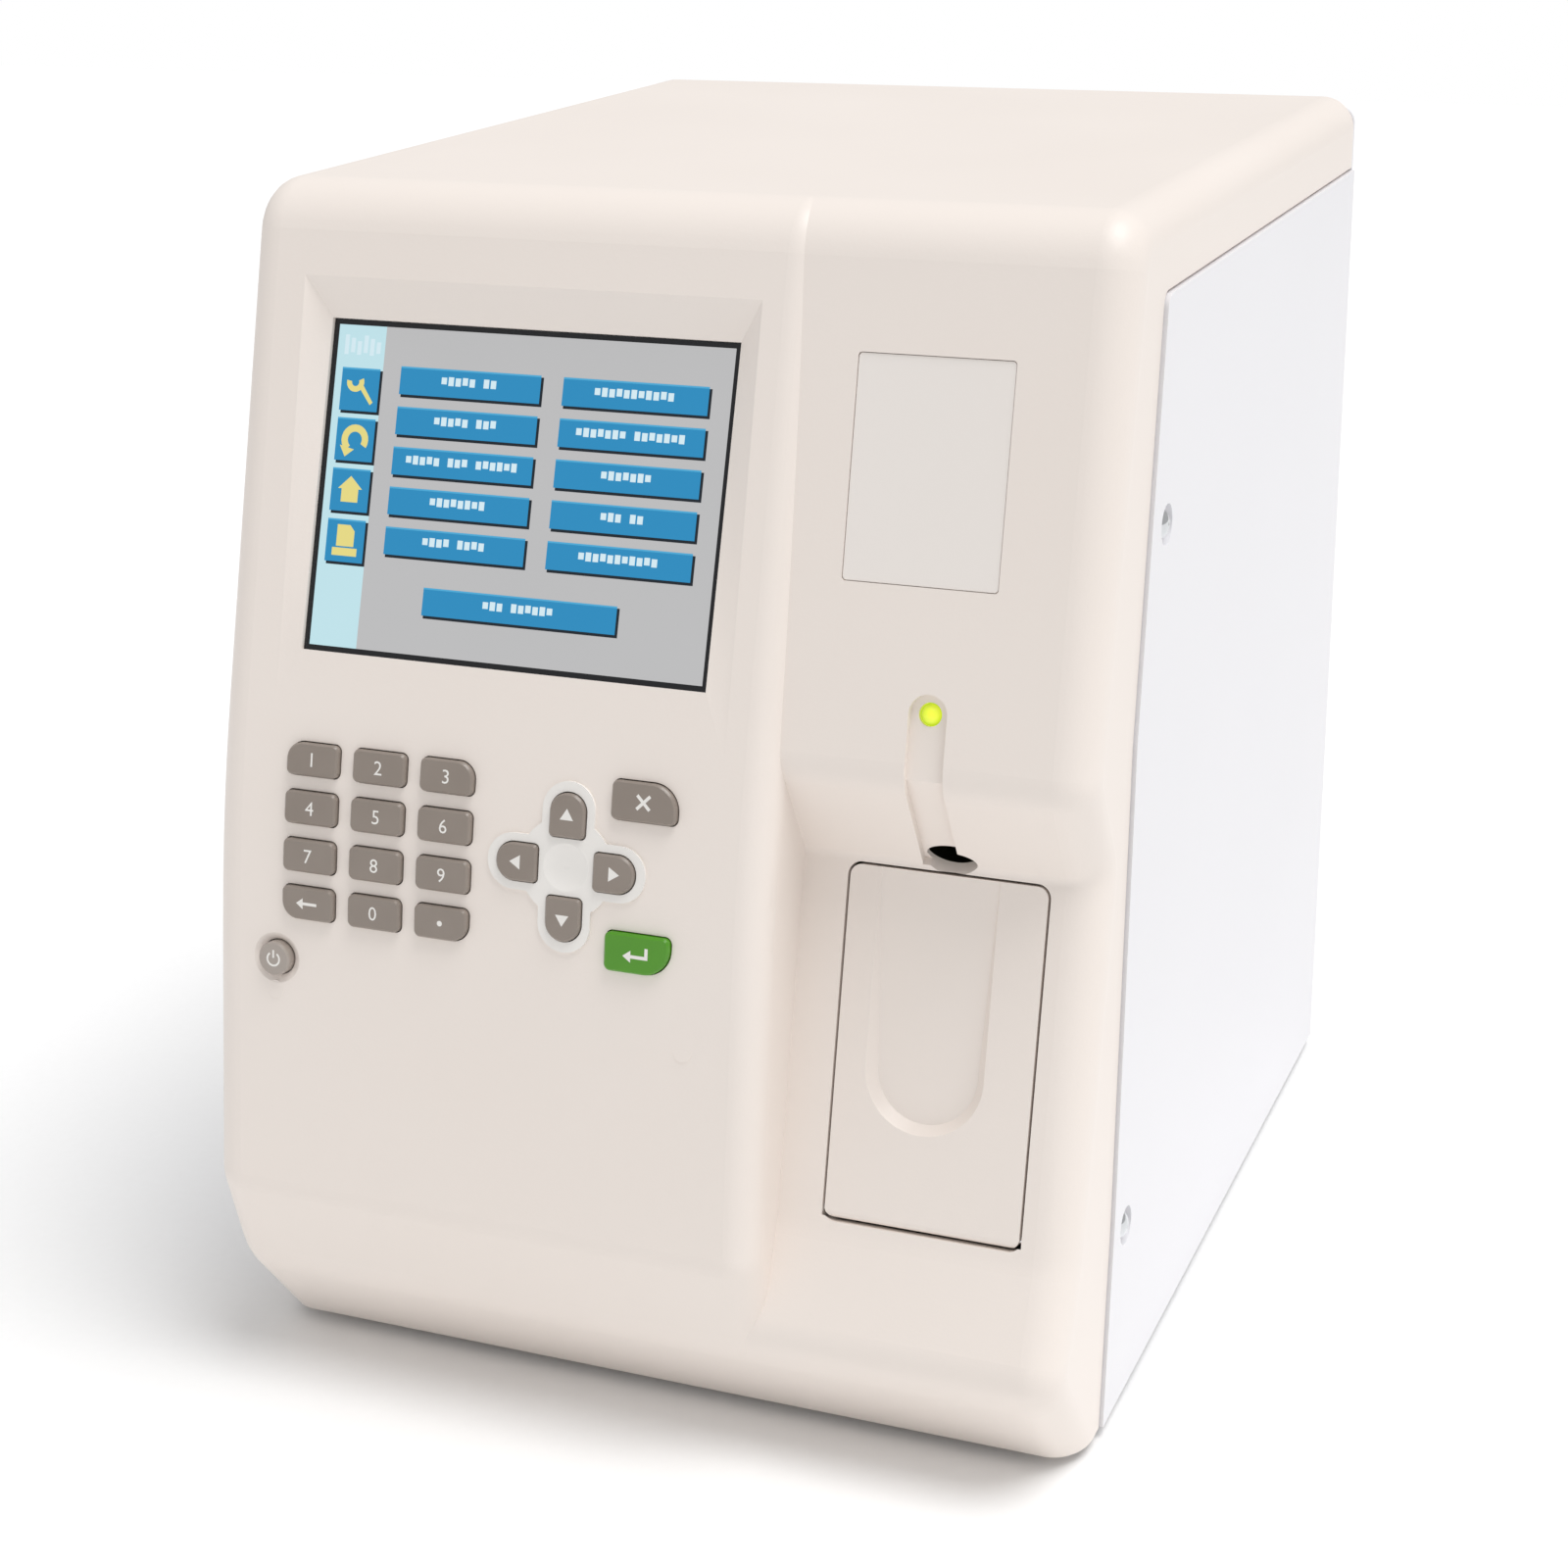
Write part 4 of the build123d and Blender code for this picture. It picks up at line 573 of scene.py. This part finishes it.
@dataclass
class DisplayImage:
    """The menu picture of the display: a grey page, a pale strip and rows of plain buttons.

    Flat shapes are given from the middle of the glass, to the right and up its slope.
    """

    place: Slope = Slope(-37.5, -122.874, 248.7, 18.6)
    half_width: float = 56.7
    half_height: float = 42.4
    layer: float = 0.03
    first_top: float = 0.02
    strip_right: float = -42.6
    button_height: float = 7.3
    row_tops: tuple[float, ...] = (32.4, 21.9, 11.4, 0.9, -9.6)
    columns: tuple[tuple[float, float], ...] = ((-37.2, 3.6), (10.0, 50.6))
    last_button: tuple[float, float, float] = (-24.3, 31.3, -24.6)
    square: float = 11.3
    square_left: float = -54.6
    square_tops: tuple[float, ...] = (31.2, 18.0, 4.7, -8.7)
    shadow_inset: float = 0.5
    shadow_reach: float = 0.75
    edge_height: float = 0.45
    words: tuple[tuple[int, ...], ...] = (
        (5, 2), (11,), (5, 3), (7, 7), (5, 3, 6), (7,), (8,), (3, 2), (4, 4), (11,), (3, 6))
    block_step: float = 2.05
    block_width: float = 1.55
    block_lift: float = 0.5
    block_full: float = 1.15
    block_short_foot: float = 0.8
    block_short_head: float = 0.95
    heading_blocks: int = 6
    heading_step: float = 1.9
    heading_width: float = 1.2
    heading_foot: float = 34.6
    heading_foot_step: float = 0.6
    heading_head: float = 39.8
    heading_head_step: float = 0.8
    body: str = "housing"
    finishes: dict[str, bpy.types.Material] = field(default_factory=dict)

    def button_boxes(self) -> list[Box]:
        """Limits of every button as left, bottom, right and top."""
        boxes = [(left, top - self.button_height, right, top)
                 for top in self.row_tops for left, right in self.columns]
        left, right, top = self.last_button
        return boxes + [(left, top - self.button_height, right, top)]

    def square_boxes(self) -> list[Box]:
        """Limits of the four symbol squares in the strip."""
        return [(self.square_left, top - self.square, self.square_left + self.square, top)
                for top in self.square_tops]

    def add(self, name: str, outlines: Iterable[np.ndarray], level: int, finish: str) -> bpy.types.Object:
        """Adds flat shapes as one piece, each level one layer above the level below it.

        Args:
            name: name of the piece.
            outlines: flat outlines in millimetres, in the display's plane.
            level: number of layers above the glass.
            finish: key of the material.

        Returns:
            The new object.
        """
        top = self.layer * level + self.first_top
        vertices, faces = merged(prism(outline, top - self.layer, top) for outline in outlines)
        return make_piece(name, (self.place.to_world(vertices), faces), self.finishes[finish], self.body)

    def block_row(self, box: Box, words: Sequence[int]) -> list[np.ndarray]:
        """Row of small light blocks that stands for a line of text.

        Every third block has a short foot and every second a short head, so
        that the row is uneven as a line of text is.

        Args:
            box: limits of the button.
            words: number of blocks in each group.

        Returns:
            Outlines of the blocks, centred in the button.
        """
        total = (sum(words) + len(words) - 1) * self.block_step
        x = (box[0] + box[2] - total) / 2
        middle = (box[1] + box[3]) / 2 + self.block_lift
        blocks = []
        for group, count in enumerate(words):
            for index in range(count):
                low = middle - (self.block_full if (index + group) % 3 else self.block_short_foot)
                high = middle + (self.block_full if (index + group) % 2 else self.block_short_head)
                blocks.append(rectangle(x, low, x + self.block_width, high))
                x += self.block_step
            x += self.block_step
        return blocks

    def heading(self) -> list[np.ndarray]:
        """Row of uneven upright blocks at the top of the strip."""
        lefts = [self.square_left + self.heading_step * index for index in range(self.heading_blocks)]
        return [rectangle(left, self.heading_foot + self.heading_foot_step * (index % 2),
                          left + self.heading_width, self.heading_head - self.heading_head_step * (index % 3))
                for index, left in enumerate(lefts)]

    def symbols(self) -> list[np.ndarray]:
        """Spanner, turn-back arrow, house and page, one in each square."""
        half = self.square / 2
        centres = [(self.square_left + half, top - half) for top in self.square_tops]
        spanner, turn, house, sheet = centres
        handle = np.array([(-0.2, 0.6), (3.4, -3.9), (4.2, -3.2), (0.9, 1.3)]) + spanner
        jaw = open_ring((spanner[0] - 1.4, spanner[1] + 1.9), 2.6, 1.1, 170, 385, 14)
        bow = open_ring(turn, 4.0, 2.1, -30, 230, 18)
        head = np.array([(-4.3, -1.6), (0.0, -2.6), (-2.6, -4.6)]) + turn
        roof = np.array([(-3.6, 0.3), (3.6, 0.3), (0.0, 3.7)]) + house
        walls = rectangle(-2.5, -3.2, 2.5, 0.3) + house
        page = np.array([(-2.6, -1.5), (2.6, -1.5), (2.6, 2.6), (1.2, 4.2), (-2.6, 4.2)]) + sheet
        tray = rectangle(-3.7, -4.0, 3.7, -1.9) + sheet
        return [handle, jaw, bow, head, roof, walls, page, tray]

    def build(self) -> None:
        """Makes every layer of the picture."""
        page = rectangle(-self.half_width, -self.half_height, self.half_width, self.half_height)
        strip = rectangle(-self.half_width, -self.half_height, self.strip_right, self.half_height)
        buttons = self.button_boxes()
        boxes = buttons + self.square_boxes()
        shadows = [rectangle(left + self.shadow_inset, bottom - self.shadow_reach,
                             right + self.shadow_reach, top - self.shadow_inset)
                   for left, bottom, right, top in boxes]
        edges = [rectangle(left, top - self.edge_height, right, top) for left, _, right, top in boxes]
        blocks = [block for box, words in zip(buttons, self.words) for block in self.block_row(box, words)]
        self.add("screen_page", [page], 0, "page")
        self.add("screen_strip", [strip], 1, "strip")
        self.add("screen_button_shadows", shadows, 2, "shadow")
        self.add("screen_buttons", [rectangle(*box) for box in boxes], 3, "button")
        self.add("screen_button_edges", edges, 4, "edge")
        self.add("screen_text_blocks", blocks, 4, "text")
        self.add("screen_symbols", self.symbols(), 4, "symbol")
        self.add("screen_strip_heading", self.heading(), 2, "text")


@dataclass
class KeyMarks:
    """Printed numerals and signs on the key caps, whose tops stand self.rise above the front."""

    front: FrontBend = FrontBend()
    rise: float = 1.8
    ink_lift: float = 0.03
    ink_depth: float = 0.02
    columns: tuple[float, ...] = (-89.4, -69.4, -49.4)
    first_row: float = 179.6
    row_step: float = 12.67
    numeral_height: float = 3.7
    numeral_steps: int = 3
    point_radius: float = 0.75
    arrow_centre: tuple[float, float] = (-14.1, 160.4)
    arrow_offset: float = 13.8
    enter_place: tuple[float, float] = (7.0, 140.8)
    escape_place: tuple[float, float] = (7.0, 179.2)
    standby_place: tuple[float, float] = (-99.6, 125.3)
    finishes: dict[str, bpy.types.Material] = field(default_factory=dict)

    def ink(self, outline: np.ndarray, layer: int = 0) -> Mesh:
        """Thin print over an outline, with its top that many layers below the first one's."""
        top = 0.0 - layer * self.ink_depth
        return prism(outline, top - self.ink_depth, top)

    def numeral(self, text: str) -> Mesh:
        """Flat mesh of one numeral, centred and scaled to the numerals' height.

        Args:
            text: the numeral.

        Returns:
            Vertices (n, 3) in millimetres and faces.
        """
        curve = bpy.data.curves.new("numeral_" + text, "FONT")
        curve.body = text
        curve.resolution_u = self.numeral_steps
        holder = bpy.data.objects.new("numeral_" + text, curve)
        mesh = bpy.data.meshes.new_from_object(holder)
        flat = np.empty(len(mesh.vertices) * 3)
        mesh.vertices.foreach_get("co", flat)
        points = flat.reshape(-1, 3)
        low, high = points.min(axis=0), points.max(axis=0)
        scale = self.numeral_height / (high[1] - low[1])
        points = (points - (low + high) / 2) * scale
        faces = [list(polygon.vertices) for polygon in mesh.polygons]
        bpy.data.objects.remove(holder)
        bpy.data.curves.remove(curve)
        bpy.data.meshes.remove(mesh)
        points[:, 2] = 0.0
        return points, faces

    def back_arrow(self) -> Mesh:
        """Arrow to the left: the delete key's sign."""
        return merged([self.ink(np.array([(-3.2, 0.0), (-1.2, -1.5), (-1.2, 1.5)])),
                       self.ink(rectangle(-1.2, -0.4, 3.0, 0.4))])

    def return_arrow(self) -> Mesh:
        """Arrow to the left with a raised tail: the enter key's sign."""
        return merged([self.ink(np.array([(-3.6, -0.6), (-1.4, -2.2), (-1.4, 1.0)])),
                       self.ink(rectangle(-1.4, -1.05, 3.4, -0.15)),
                       self.ink(rectangle(2.5, -0.15, 3.4, 2.0))])

    def cross(self) -> Mesh:
        """Two slanting bars: the escape key's sign."""
        return merged([self.ink(np.array([(-2.1, -1.5), (-1.5, -2.1), (2.1, 1.5), (1.5, 2.1)])),
                       self.ink(np.array([(1.5, -2.1), (2.1, -1.5), (-1.5, 2.1), (-2.1, 1.5)]), 1)])

    def standby_sign(self) -> Mesh:
        """Open ring with an upright bar in its gap."""
        return merged([self.ink(open_ring((0.0, 0.0), 2.1, 1.55, 125, 415, 26)),
                       self.ink(rectangle(-0.28, 0.3, 0.28, 2.5))])

    def put(self, key: str, place: Slope, shape: Mesh) -> None:
        """Lays one mark on the cap of a key.

        Args:
            key: name of the key's body and node.
            place: the key's place on the front.
            shape: vertices and faces in millimetres, about the cap's middle.
        """
        vertices, faces = shape
        lifted = vertices + np.array([0.0, 0.0, self.rise + self.ink_lift])
        make_piece(key + "_mark", (place.to_world(lifted), faces), self.finishes["ink"], key)

    def number_keys(self) -> None:
        """Marks the field of twelve keys, row by row from the top."""
        names = ["1", "2", "3", "4", "5", "6", "7", "8", "9", "delete", "0", "point"]
        for index, name in enumerate(names):
            row, column = divmod(index, len(self.columns))
            if name == "delete":
                shape = self.back_arrow()
            elif name == "point":
                shape = self.ink(arc((0.0, 0.0), self.point_radius, 0, 345, 24))
            else:
                shape = self.numeral(name)
            self.put("key_" + name, self.front.at(self.columns[column], self.first_row - row * self.row_step),
                     shape)

    def arrow_keys(self) -> None:
        """Marks the four arrow keys: one triangle, turned about the middle of their cross."""
        triangle = np.array([(-1.9, -1.2), (1.9, -1.2), (0.0, 1.8)])
        lean = math.radians(self.front.upper_lean)
        for name, turn in (("up", 0), ("left", 90), ("down", 180), ("right", 270)):
            angle = math.radians(turn)
            place = self.front.at(self.arrow_centre[0] - self.arrow_offset * math.sin(angle),
                                  self.arrow_centre[1] + self.arrow_offset * math.cos(angle) * math.cos(lean))
            turned = triangle @ np.array([[math.cos(angle), math.sin(angle)],
                                          [-math.sin(angle), math.cos(angle)]])
            self.put("key_" + name, place, self.ink(turned))

    def build(self) -> None:
        """Makes the marks of every key."""
        self.number_keys()
        self.arrow_keys()
        self.put("key_enter", self.front.at(*self.enter_place), self.return_arrow())
        self.put("key_escape", self.front.at(*self.escape_place), self.cross())
        self.put("key_standby", self.front.at(*self.standby_place), self.standby_sign())


@dataclass
class Housing:
    """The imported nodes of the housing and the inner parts, with their finishes."""

    groups: dict[str, tuple[str, ...]] = field(default_factory=lambda: {
        "warm_white": ("hood",),
        "door_white": ("sample_door",),
        "plate": ("badge_plate",),
        "surround": ("arrow_surround",),
        "cool_paint": ("side_panel_left", "side_panel_right", "rear_panel"),
        "zinc": ("base_pan", "power_supply", "data_ports"),
        "rubber": ("rubber_feet",),
        "chrome": ("side_panel_screws", "rear_panel_screws", "sampling_needle", "door_hinge_pin"),
        "glass": ("touch_screen",),
        "lamp": ("status_lamp",),
        "aluminium": ("display_module", "mounting_plate", "lower_bracket", "upper_bracket"),
        "steel": ("guide_rods", "lead_screw"),
        "board": ("keypad_board", "main_board"),
        "tray": ("compartment_tray",),
        "dark": ("tube_holder", "pump_housing", "valve_bank", "fan_frame", "fan_rotor", "power_inlet",
                 "lift_motor"),
        "gloss_black": ("power_switch",),
        "natural": ("needle_carriage", "syringe_pistons", "pump_rotor", "reagent_fittings"),
        "clear": ("rinse_block", "syringe_block", "counting_chambers"),
        "key_grey": tuple("key_" + name for name in (
            "0", "1", "2", "3", "4", "5", "6", "7", "8", "9", "point", "delete", "escape",
            "up", "down", "left", "right")),
        "key_green": ("key_enter",),
        "key_standby": ("key_standby",),
    })
    finishes: dict[str, bpy.types.Material] = field(default_factory=dict)

    def build(self) -> None:
        """Gives every node its finish."""
        for finish, nodes in self.groups.items():
            for name in nodes:
                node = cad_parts[name]
                for slot in node.material_slots:
                    slot.material = self.finishes[finish]
                LOG.info("%s: %s", name, finish)


@dataclass
class Studio:
    """Camera, floor and soft lights. The camera's turns and the light's width are in degrees."""

    camera_place: tuple[float, float, float] = (293.61, -759.65, 427.03)
    camera_turn: tuple[float, float, float] = (70.2047, 0.9090, 21.7411)
    lens: float = 65.3
    sensor_width: float = 36.0
    nearest: float = 10.0
    farthest: float = 20000.0
    floor_size: float = 6000.0
    floor_squares: int = 8
    floor_colours: tuple[str, str] = ("#FAFAFA", "#FDFDFD")
    floor_roughness: float = 0.9
    floor_shine: float = 0.1
    speck_mm: float = 3.0
    sky: float = 0.55
    backdrop: float = 1.0
    sun_from: tuple[float, float, float] = (0.34, 0.0, 0.93)
    sun_power: float = 1.9
    sun_width: float = 36.0

    def camera(self) -> None:
        """Sets the photograph's camera, solved from the display's corners and the long edges."""
        data = bpy.data.cameras.new("photo_camera")
        data.lens = self.lens
        data.sensor_width = self.sensor_width
        data.clip_start = self.nearest * MM
        data.clip_end = self.farthest * MM
        camera = bpy.data.objects.new("photo_camera", data)
        camera.location = [v * MM for v in self.camera_place]
        camera.rotation_euler = [math.radians(v) for v in self.camera_turn]
        bpy.context.collection.objects.link(camera)
        bpy.context.scene.camera = camera

    def floor(self) -> None:
        """Lays a pale floor: a square grid, each face between four neighbouring points."""
        row = self.floor_squares + 1
        steps = np.linspace(-self.floor_size / 2, self.floor_size / 2, row) * MM
        across, along = np.meshgrid(steps, steps)
        vertices = np.column_stack([across.ravel(), along.ravel(), np.zeros(across.size)])
        first = (np.arange(row - 1)[:, None] * row + np.arange(row - 1)).ravel()
        faces = np.column_stack([first, first + 1, first + row + 1, first + row])
        material, tree, where = new_tree("matt_white_floor")
        colours = (linear(self.floor_colours[0]), linear(self.floor_colours[1]))
        tint = drifting_colour(tree, where, colours, self.speck_mm)[1]
        shader = add_node(tree, "ShaderNodeBsdfPrincipled", {},
                          {"Roughness": self.floor_roughness, "Specular IOR Level": self.floor_shine},
                          {"Base Color": tint})
        add_node(tree, "ShaderNodeOutputMaterial", {}, {}, {"Surface": shader.outputs["BSDF"]})
        mesh = bpy.data.meshes.new("floor")
        mesh.from_pydata(vertices.tolist(), [], faces.tolist())
        mesh.materials.append(material)
        mesh.update()
        plane = bpy.data.objects.new("floor", mesh)
        bpy.context.collection.objects.link(plane)

    def world(self) -> None:
        """Soft even sky: white to the camera and through clear pieces, dimmer as a light."""
        world = bpy.data.worlds.new("studio")
        bpy.context.scene.world = world
        world.use_nodes = True
        tree = world.node_tree
        tree.nodes.clear()
        rays = add_node(tree, "ShaderNodeLightPath")
        seen = add_node(tree, "ShaderNodeMath", {"operation": "MAXIMUM"}, {},
                        {0: rays.outputs["Is Camera Ray"], 1: rays.outputs["Is Transmission Ray"]})
        white = (1.0, 1.0, 1.0, 1.0)
        sky = add_node(tree, "ShaderNodeBackground", {}, {"Color": white, "Strength": self.sky})
        backdrop = add_node(tree, "ShaderNodeBackground", {}, {"Color": white, "Strength": self.backdrop})
        both = add_node(tree, "ShaderNodeMixShader", {}, {},
                        {0: seen.outputs["Value"], 1: sky.outputs["Background"],
                         2: backdrop.outputs["Background"]})
        add_node(tree, "ShaderNodeOutputWorld", {}, {}, {"Surface": both.outputs["Shader"]})

    def sun(self) -> None:
        """Adds one broad light from above and the right, as even over the floor as over the object.

        The lamp shines along its own -Z, so it is turned until +Z points at
        where the light comes from: first the tilt from upright about X, then
        the heading about Z.
        """
        data = bpy.data.lights.new("broad_light", "SUN")
        data.energy = self.sun_power
        data.angle = math.radians(self.sun_width)
        lamp = bpy.data.objects.new("broad_light", data)
        x, y, z = self.sun_from
        lamp.rotation_euler = (math.atan2(math.hypot(x, y), z), 0.0, math.atan2(y, x) + math.pi / 2)
        bpy.context.collection.objects.link(lamp)

    def build(self) -> None:
        """Makes the whole studio."""
        bpy.context.scene.view_settings.view_transform = "Standard"
        self.camera()
        self.floor()
        self.world()
        self.sun()


def all_finishes() -> dict[str, bpy.types.Material]:
    """Makes every material once.

    Returns:
        Materials by short name.
    """
    recipes = {
        # Warm white ABS of the hood: satin, with a fine mould grain
        "warm_white": MouldedPlastic("satin_warm_white_abs", "#F1E7DF", "#F4EBE4"),
        "door_white": MouldedPlastic("satin_door_abs", "#F0E6DE", "#F3EAE3"),
        # Smooth plate without print: less warm than the hood, and duller
        "plate": MouldedPlastic("matt_plate_polycarbonate", "#F0E9E3", "#F3EDE8", Sheen.MATT,
                                grain_mm=0.5, grain_strength=0.06),
        "surround": MouldedPlastic("glossy_white_abs", "#F2EEE9", "#F5F2EE", Sheen.GLOSSY,
                                   grain_mm=0.8, grain_strength=0.02),
        # Cool white powder coat of the sheets: its soft peel sets them off from the hood
        "cool_paint": PowderPaint("powder_coated_steel", "#EBEAED", "#EEEDF0"),
        "zinc": WorkedMetal("zinc_plated_steel", "#B9BBBD", roughness=0.38),
        "rubber": MouldedPlastic("moulded_nitrile_rubber", "#1B1B1C", "#222223", Sheen.MATT,
                                 grain_mm=0.7, grain_strength=0.2, drift_mm=15.0),
        "chrome": WorkedMetal("polished_chrome_plate", "#D4D6D8", roughness=0.12, line_mm=0.4,
                              stretch=(1.0, 1.0, 1.0), line_strength=0.03),
        # Dark border round the lit picture, bright as glass
        "glass": MouldedPlastic("dark_display_border", "#0B0D12", "#0E1016", Sheen.GLOSSY,
                                grain_mm=1.0, grain_strength=0.01),
        "lamp": LampLens("lit_lamp_lens", middle="#D2DC3C", rim="#6E9A0C"),
        "aluminium": WorkedMetal("rolled_aluminium_sheet", "#C8CACC", roughness=0.34, line_mm=0.6,
                                 stretch=(0.05, 1.0, 1.0)),
        "steel": WorkedMetal("ground_steel_rod", "#BFC1C3", roughness=0.2, line_mm=0.3,
                             stretch=(1.0, 1.0, 0.02)),
        "board": CircuitBoard("glass_epoxy_circuit_board"),
        "tray": MouldedPlastic("grey_compartment_abs", "#8D8A87", "#949190", Sheen.MATT),
        "dark": MouldedPlastic("black_glass_filled_nylon", "#1E1F21", "#26272A", Sheen.MATT,
                               grain_mm=0.8, grain_strength=0.15, drift_mm=25.0),
        "gloss_black": MouldedPlastic("glossy_black_rocker", "#121213", "#161617", Sheen.GLOSSY,
                                      grain_mm=0.8, grain_strength=0.02, drift_mm=20.0),
        "natural": MouldedPlastic("natural_acetal", "#E4E2DA", "#EAE8E1", Sheen.SATIN,
                                  grain_mm=0.7, grain_strength=0.05, drift_mm=30.0),
        "clear": ClearPlastic("machined_acrylic", "#DDEBEE"),
        # Keys: soft sheen with a slightly lighter drift
        "key_grey": MouldedPlastic("moulded_grey_key", "#8C8178", "#968B82", Sheen.SOFT_GLOSS,
                                   grain_mm=0.6, grain_strength=0.05, drift_mm=12.0),
        "key_green": MouldedPlastic("moulded_green_key", "#4A8F14", "#529A1A", Sheen.SOFT_GLOSS,
                                    grain_mm=0.6, grain_strength=0.05, drift_mm=12.0),
        "key_standby": MouldedPlastic("moulded_standby_key", "#A79D95", "#AFA59D", Sheen.SOFT_GLOSS,
                                      grain_mm=0.6, grain_strength=0.05, drift_mm=12.0),
        "ink": MouldedPlastic("white_pad_print", "#EFECE7", "#F3F0EC", Sheen.SATIN,
                              grain_mm=0.5, grain_strength=0.02, drift_mm=5.0),
        # The lit liquid crystal gives off these colours through the panel's smooth face
        "page": LitColour("lit_page_grey", "#C3C3C4", glow=0.82),
        "strip": LitColour("lit_pale_strip", "#C3E6EE", glow=0.86),
        "button": LitColour("lit_button_blue", "#2389BC", glow=0.92),
        "edge": LitColour("lit_button_edge", "#48A6D2", glow=0.92),
        "shadow": LitColour("lit_button_shadow", "#0D1B26", glow=0.8),
        "text": LitColour("lit_text_blocks", "#D8EEF6", glow=0.86),
        "symbol": LitColour("lit_symbol_yellow", "#E9DC86", glow=0.86),
    }
    return {name: recipe.build() for name, recipe in recipes.items()}


def main() -> None:
    """Dresses the model and sets the studio."""
    logging.basicConfig(level=logging.INFO, format="%(name)s: %(message)s")
    finishes = all_finishes()
    Studio().build()
    Housing(finishes=finishes).build()
    DisplayImage(finishes=finishes).build()
    KeyMarks(finishes=finishes).build()


if __name__ == "__main__":
    main()
